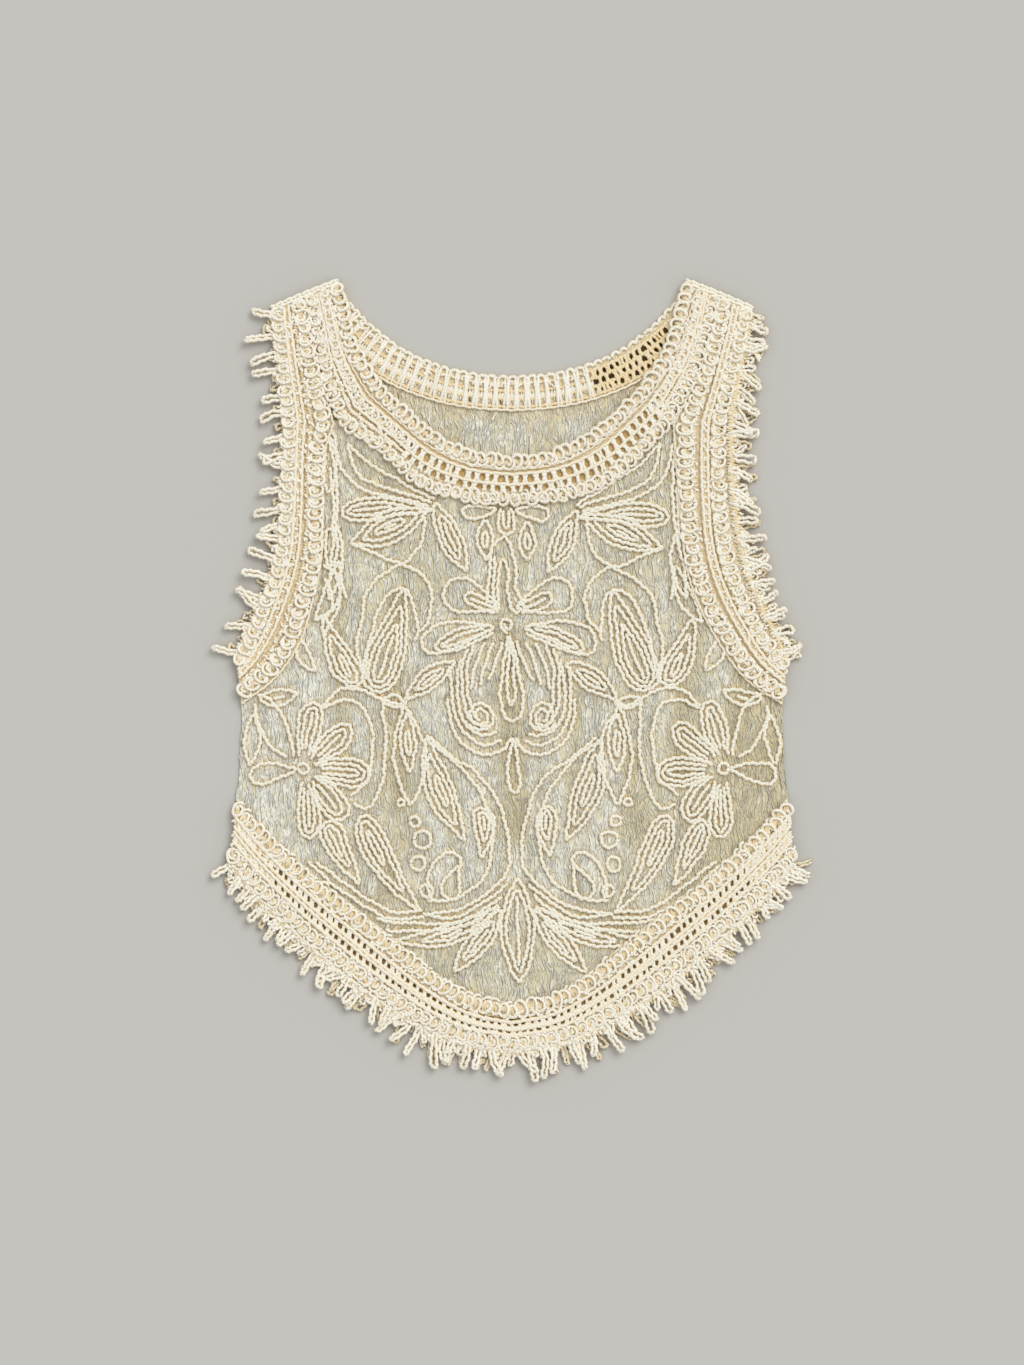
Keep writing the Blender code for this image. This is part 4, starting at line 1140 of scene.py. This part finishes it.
def motifLines(motif, kind):
    # the outline, then the same outline again and again, a cord's gap further in
    base, tip = np.array(motif.base, float), np.array(motif.tip, float)
    run = tip - base
    length = np.linalg.norm(run)
    over = np.array([-run[1], run[0]]) / length
    at = np.linspace(0, 1, 121)
    foot = cord["foot"] if kind == "petal" and motif.rings > 1 else 0.0
    full = (foot + (1 - foot) * at**0.85) * np.sqrt(1 - at**3.2)
    if kind == "leaf":
        full = np.sin(np.pi * at) ** 0.9
    half = motif.width / 2 * full / full.max()
    spine = base + run * at[:, None] + over * (4 * motif.bend * at * (1 - at))[:, None]
    lines = [np.vstack([spine + over * half[:, None], (spine - over * half[:, None])[-2::-1]])]
    if foot:
        # a petal's inner lines all run in to its foot
        for ring in range(1, motif.rings + 1):
            share = 1 - ring * cord["gap"] / (motif.width / 2)
            if share * motif.width / 2 < -0.3 * cord["gap"]:
                break
            some = at > 0.05 + 0.06 * ring
            middle = base + (spine[some] - base) * (1 - ring * cord["gap"] / length)
            reach = (share * half[some])[:, None]
            if reach.max() < cord["single"]:
                lines.append(middle)
                break
            lines.append(np.vstack([middle + over * reach, (middle - over * reach)[-2::-1]]))
        return lines
    slope = np.minimum(np.hypot(1, np.gradient(half, at * length)), 3)
    inner = half
    for ring in range(1, motif.rings):
        inner = half - ring * cord["gap"] * slope
        kept = np.flatnonzero(inner > cord["closeUp"])
        if len(kept) < 8:
            break
        middle, reach = spine[kept], inner[kept][:, None]
        if reach.max() < cord["single"]:
            lines.append(middle)
        else:
            loop = np.vstack([middle + over * reach, (middle - over * reach)[::-1]])
            lines.append(np.vstack([loop, loop[:1]]))
    roomy = np.flatnonzero(inner > cord["roomy"])
    if motif.rings > 1 and len(roomy) > 12:
        lines.append(spine[roomy])
    return lines


def ringLine(centre, radius):
    turn = np.linspace(0, 2 * np.pi, 25)
    return np.column_stack([centre[0] + radius * np.cos(turn), centre[1] + radius * np.sin(turn)])


def coilLine(centre, radius, turns, start):
    share = np.linspace(0, 1, 60)
    turn = np.radians(start) - 2 * np.pi * turns * share
    reach = radius * (1 - 0.75 * share)
    return np.column_stack([centre[0] + reach * np.cos(turn), centre[1] + reach * np.sin(turn)])


def designLines(groups, rings, coils, vines):
    lines = [line for kind, motifs in groups for motif in motifs for line in motifLines(motif, kind)]
    lines += [ringLine(*r) for r in rings] + [coilLine(*c) for c in coils]
    return lines + [smoothLine(v) for v in vines]


def designAxis(y):
    # the cord design sits a little askew on the front
    return -1.0 - 0.03 * y


def leftOf(line):
    # the left half mirrors the right, and lies a little higher beside the neck
    x, y = line.T
    higher = cord["lift"] * np.exp(-(((y - 118) / 38) ** 2)) * softStep(x / 60)
    return np.column_stack([2 * designAxis(y) - x, y + higher])


def centred(line):
    return np.column_stack([designAxis(line[:, 1]) + line[:, 0], line[:, 1]])


def handLaid(line):
    # small wanders, as in cord laid by hand
    x, y = line.T / 8
    return line + cord["wander"] * np.column_stack([grain(x, y) - 0.5 for grain in grains[:2]])


halfLines = designLines((("leaf", leaves), ("petal", petals), ("bud", buds)), rings, coils, vines)
middleLines = designLines((("leaf", centreLeaves), ("petal", centrePetals)), [], centreCoils, centreVines)
cordSides = {
    "right": halfLines,
    "left": [leftOf(line) for line in halfLines] + [smoothLine(v) for v in leftVines],
    "middle": [centred(line) for line in middleLines],
}
cordPieces, cordSpots = [], []
for label, lines in cordSides.items():
    yarn = Yarn()
    for line in lines:
        line = evenLine(handLaid(line), cord["step"])
        inside = insideOf(line[:, 0], line[:, 1], seamOutline).astype(float)
        if inside.mean() < 0.1:
            continue
        shown = np.convolve(np.pad(inside, 4, mode="edge"), np.ones(9) / 9, "valid")
        height = frontHeight(line[:, 0], line[:, 1]) + cord["yarn"] - cord["sink"]
        height = height * shown + cord["tuckedTo"] * (1 - shown)
        sway = cord["sway"] * min(1.0, lengthAlong(line)[-1] / cord["straightTo"])
        path, thick = knobbly(np.column_stack([line, height]), cord, sway)
        yarn.lay(path, thick, tone=0.15 + 0.3 * dice.random())
        cordSpots.append(line[::2])
    cordPieces.append(yarn.piece(f"cord_design_{label}", cordYarn))


print("front gauze")
row = gauzePanel
x, y, quads = clothGrid(panelOutline(neckFront, armFront, hemFront, row["tuck"], frontTips), row)
toCord = distancesTo(np.vstack(cordSpots), x, y)
ridge, thin = crinkled(x, y, row)
pucker = np.exp(-((toCord / row["puckerReach"]) ** 2))
crinkles = (ridge * row["crinkle"] + (thin - 0.5) * row["fine"]) * (1 - 0.3 * pucker)
height = frontHeight(x, y) + crinkles * (0.35 + 0.65 * fromSide(x, y, 4)) - row["pucker"] * pucker
height = np.where(insideOf(x, y, seamOutline), height, np.minimum(height, row["underBand"]))
wave = row["waviness"] * (grains[1](y / 7, y * 0 + 3) * 2 - 1)
x = x + np.sign(x) * (1 - fromSide(x, y, row["waveReach"])) * wave
turnedAway = np.sign(x) * np.clip((np.abs(x) - row["lightFrom"]) / row["lightOver"], 0, 1)
gauzeFront = newPiece(
    "gauze_front", np.column_stack([x, y, height]), quads, gauze,
    # crown: the crinkles' crest heights, which the finish paints lighter: painted light
    crown=np.clip(ridge + 0.4 * (thin - 0.5), 0, 1),
    # warmth: painted shade beside the cords
    warmth=0.8 * (1 - softStep(toCord - row["shadeReach"])),
    pull=np.exp(-((toCord / row["pullReach"]) ** 2)),
    # fold: painted light on the folds' ridges and shade in their troughs, lighter to the left and darker to
    # the right beyond lightFrom
    fold=np.clip(foldHeight(x, y) / 1.2 - 0.15 - row["lightTilt"] * turnedAway, -1, 1),
)


print("back gauze")
backPanel = {**gauzePanel, "columnStep": 1.6, "rowStep": 5.0, "floor": 0.25, "fine": 0.2, "shadeReach": 7}
row = backPanel
hemBack = backBands[0]
x, y, quads = clothGrid(panelOutline(neckBack, backBands, hemBack, row["tuck"], backTips), row)
ridge, thin = crinkled(x + 90, y + 50, row)
height = row["floor"] + ridge * row["crinkle"] + (thin - 0.5) * row["fine"]
toSeam = distancesTo(neckBack.spot(neckBack.q[::12], 1.0), x, y)
# a tan strip along the back neck seam, with puckers
warmth = 0.4 * (1 - softStep((toSeam - row["shadeReach"]) / 5)) * (0.6 + 0.8 * grains[1](x / 1.5, y / 1.5))
gauzeBack = newPiece(
    "gauze_back", np.column_stack([x, y, height]), quads, gauze,
    # crown: the crinkles' crest heights, which the finish paints lighter: painted light
    crown=np.clip(ridge + 0.3 * (thin - 0.5), 0, 1),
    warmth=warmth,
    pull=warmth,
    # fold: random patches that the finish lightens and darkens as it does the folds
    fold=0.8 * (2 * grains[2](x / 24, y / 60) - 1),
)


def declareGauze(piece, node):
    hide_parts(node)
    at = np.empty(len(piece.data.vertices) * 3, np.float32)
    piece.data.vertices.foreach_get("co", at)
    at = at.reshape(-1, 3) / mm
    faces = np.empty(len(piece.data.polygons) * 4, np.int32)
    piece.data.polygons.foreach_get("vertices", faces)


declareGauze(gauzeFront, "front_panel")
declareGauze(gauzeBack, "back_panel")


# looped fringe along the free edges
print("fringe")
frontLoops = {"yarn": 1.5, "floor": 3.3}
backLoops = {"yarn": 1.35, "floor": 0.3, "root": 0.07, "tuftRoot": 0.07}
# lengths: from the side to the middle, or from the shoulder to the underarm; tuft: the shortest length
# and what chance adds; roots: how far across the band loops and tufts begin; fall: how far they lean
fringeRows = {
    "hem_front": {**frontLoops, "loops": 27, "lengths": [16, 18, 21, 22, 22.5], "wide": 2.0, "fall": 0.0,
                  "tufts": 34, "tuft": (6, 7), "root": 0.07, "tuftRoot": 0.07},
    "hem_back": {**backLoops, "loops": 26, "lengths": [13, 15, 18, 20, 20], "wide": 1.8, "fall": 0.2,
                 "tufts": 20, "tuft": (8, 6), "yarn": 1.4},
    "arm_front_right": {**frontLoops, "loops": 21, "lengths": [16, 18, 18, 17, 15], "wide": 2.1, "fall": 0.3,
                        "tufts": 38, "tuft": (9, 8), "root": 0.12, "tuftRoot": 0.16},
    "arm_front_left": {**frontLoops, "loops": 19, "lengths": [22, 20, 19, 20, 21], "wide": 1.9, "fall": 0.05,
                       "tufts": 24, "tuft": (6, 4), "root": 0.08, "tuftRoot": 0.14},
    "arm_back_right": {**backLoops, "loops": 20, "lengths": [14, 17, 16, 15, 13], "wide": 1.9, "fall": 0.1,
                       "tufts": 16, "tuft": (6, 6)},
    "arm_back_left": {**backLoops, "loops": 20, "lengths": [11, 10, 10, 10, 11], "wide": 1.9, "fall": 0.1,
                      "tufts": 12, "tuft": (5, 4)},
}
chainLoop = {
    "stitch": 2.7,   # length of one stitch of the chain
    "points": 38,
    "closed": 1.35,  # half the width of a loop whose strands touch
    "lean": 0.5,     # how far chance bends a loop over, and sways it to and fro
    "snake": 0.22,
    "zigzag": 0.4,   # how far its stitches lie to either side
    "lift": 1.8,     # how far chance lifts its tip, and tilts its strands
    "tilt": 0.7,
    "swell": 0.2,    # how much the yarn swells with the stitches, and by chance
    "uneven": 0.15,
    "sewnIn": 1.5,   # how far its foot reaches into the band
}
# what chance does to the spacing, length, width and lean of loops and tufts; rise: how high they start
loopMix = {"spread": 0.55, "length": 0.42, "narrow": 0.85, "wider": 1.3, "lean": 0.55, "rise": 1.2,
           "sewnIn": 2.5}
tuftMix = {"spread": 0.6, "narrow": 1.6, "wider": 1.2, "lean": 1.5, "rise": 0.3, "yarn": 0.9}


def loops(yarn, band, row, q, root, long, wide, thick, lean, rise):
    # loops of chain that stand out from the edge: two strands side by side and a round tip
    chain, count = chainLoop, len(q)
    share = np.linspace(0, 1, chain["points"])[None]
    turn = np.pi * share
    out = np.sin(turn) ** 0.85
    opened = chain["closed"] + (wide - chain["closed"]) * out**2
    across = -np.sign(np.cos(turn)) * np.abs(np.cos(turn)) ** 0.4 * opened
    beat = 2 * np.pi * share * (2 * long / chain["stitch"]) + 6 * dice.random((count, 1))
    reach = out * long
    sway = lean + chain["lean"] * uneven(count, 1) * out + chain["snake"] * uneven(count, 1) * np.sin(out * 5)
    across = across + reach * sway + chain["zigzag"] * np.sin(beat / 2)
    lift = row["floor"] + rise + chain["lift"] * dice.random((count, 1)) * out
    lift = lift + chain["tilt"] * np.sin(2 * turn + 6 * dice.random((count, 1)))
    run, over = band.frameAt(q, np.zeros(count))
    start = band.spot(q, np.full(count, root))
    outward = over[:, None] * (reach - chain["sewnIn"])[..., None]
    flat = start[:, None] + run[:, None] * across[..., None] - outward
    path = np.concatenate([flat, np.maximum(lift, thick + 0.1)[..., None]], -1)
    swell = 1 + chain["swell"] * np.sin(beat) + chain["uneven"] * uneven(count, chain["points"])
    yarn.lay(path, thick * swell)


def fringe(name, band, row, start, end, material):
    reach = band.reachAt(0.0)
    a, b = np.interp([start, end], band.q, reach)
    count, mix = row["loops"], loopMix
    at = np.arange(count) + 0.5 + mix["spread"] * uneven(count)
    q = np.interp(a + (b - a) * at / count, reach, band.q)
    long = np.interp(np.linspace(0, 1, count), np.linspace(0, 1, len(row["lengths"])), row["lengths"])
    long = (long * (1 + mix["length"] * (dice.random(count) - 0.55)))[:, None]
    wide = (row["wide"] * (mix["narrow"] + mix["wider"] * dice.random(count) ** 2))[:, None]
    lean = row["fall"] + mix["lean"] * uneven(count, 1)
    yarn = Yarn(5 if material == creamYarn else 4)
    long = long + row["root"] * band.width.mean() - mix["sewnIn"]
    loops(yarn, band, row, q, row["root"], long, wide, row["yarn"], lean, mix["rise"])
    # shorter tufts between and under the loops
    count, mix = row["tufts"], tuftMix
    at = np.arange(count) + 0.2 + mix["spread"] * dice.random(count)
    q = np.interp(a + (b - a) * at / count, reach, band.q)
    least, more = row["tuft"]
    long = least + more * dice.random((count, 1))
    lean = row["fall"] + mix["lean"] * uneven(count, 1)
    wide = mix["narrow"] + mix["wider"] * dice.random((count, 1))
    loops(yarn, band, row, q, row["tuftRoot"], long, wide, row["yarn"] * mix["yarn"], lean, mix["rise"])
    made = yarn.piece(name, material)
    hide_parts(name)


# the back's fringe is in the shaded copy of the yarn: painted shade
for key, band, material in (("hem_front", hemFront, creamYarn), ("hem_back", hemBack, shadedYarn)):
    for label, start in (("right", 1.0), ("left", 0.0)):
        fringe(f"fringe_{key}_{label}", band, fringeRows[key], start, 0.5, material)
for side, label in ((1, "right"), (-1, "left")):
    for layer, bands, material in (("front", armFront, creamYarn), ("back", backBands, shadedYarn)):
        key = f"arm_{layer}_{label}"
        fringe(f"fringe_{key}", bands[side], fringeRows[key], 0.0, 1.0, material)


print("shoulder seams")
shoulderSeam = {
    "yarn": 1.35,
    "stitch": 3.6,
    "swell": 0.15,
    "step": 0.8,
    "chains": 3,
    "apart": 2.4,
    "out": 0.3,      # where the first chain lies, in spacings past the strap's end
    "height": 3.7,
    "crown": 0.6,    # how much higher the middle chain lies
    "bow": 0.4,
    "sway": 0.28,
    "points": 12,
}
row = shoulderSeam
for side, label in ((1, "right"), (-1, "left")):
    yarn = Yarn(6)
    a, b = (np.array([x * side, y], float) for x, y in shoulderLine)
    out = np.array([-(b - a)[1], (b - a)[0]]) / np.linalg.norm(b - a) * side
    for number in range(row["chains"]):
        share = np.linspace(0, 1, row["points"])[:, None]
        bow = row["bow"] * np.sin(np.pi * share)
        flat = a + (b - a) * share + out * ((row["out"] - number) * row["apart"] + bow)
        height = row["height"] + (row["crown"] if number == 1 else 0.0) + bow
        yarn.lay(*knobbly(np.hstack([flat, height]), row, row["sway"]))
    made = yarn.piece(f"shoulder_seam_{label}", creamYarn)
    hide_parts(f"shoulder_seam_{label}")


print("floor, light and camera")
studio = {
    "floorSize": 6.0,
    "floor": linear(195, 194, 189),
    "keyStrength": 1.45,
    "keyAngle": 40,
    "keyFrom": (0.50, 0.62, 0.95),
    "world": (1.0, 0.995, 0.98),
    "worldStrength": 0.67,
    "lens": 85,
    "cameraHeight": 2.421,
}
bpy.ops.mesh.primitive_plane_add(size=studio["floorSize"], location=(0, 0, 0))
floor = bpy.context.object
floor.name = "floor"
finish = Finish("pale_paper", {"Metallic": 0.0, "Specular IOR Level": 0.1})
specks = finish.grain(finish.place, 300, 3)
soft = finish.grain(finish.place, 3, 2)
tone = finish.blend(specks * 0.06 + soft * 0.05, studio["floor"], tuple(c * 0.8 for c in studio["floor"]))
floor.data.materials.append(finish.wear(tone, 0.9 + specks * 0.05, specks, 0.05, 0.0002))

sun = bpy.data.lights.new("key", "SUN")
sun.energy, sun.angle = studio["keyStrength"], math.radians(studio["keyAngle"])
key = bpy.data.objects.new("key", sun)
key.rotation_mode = "QUATERNION"
key.rotation_quaternion = Vector(studio["keyFrom"]).to_track_quat("Z", "Y")
bpy.context.scene.collection.objects.link(key)

world = bpy.data.worlds.new("studio")
world.use_nodes = True
background = world.node_tree.nodes["Background"]
background.inputs["Color"].default_value = (*studio["world"], 1)
background.inputs["Strength"].default_value = studio["worldStrength"]
bpy.context.scene.world = world

cameraData = bpy.data.cameras.new("camera")
cameraData.lens = studio["lens"]
camera = bpy.data.objects.new("camera", cameraData)
camera.location = (0, -outlineMiddleY * mm, studio["cameraHeight"])
bpy.context.scene.collection.objects.link(camera)
bpy.context.scene.camera = camera
bpy.context.scene.view_settings.view_transform = "Standard"
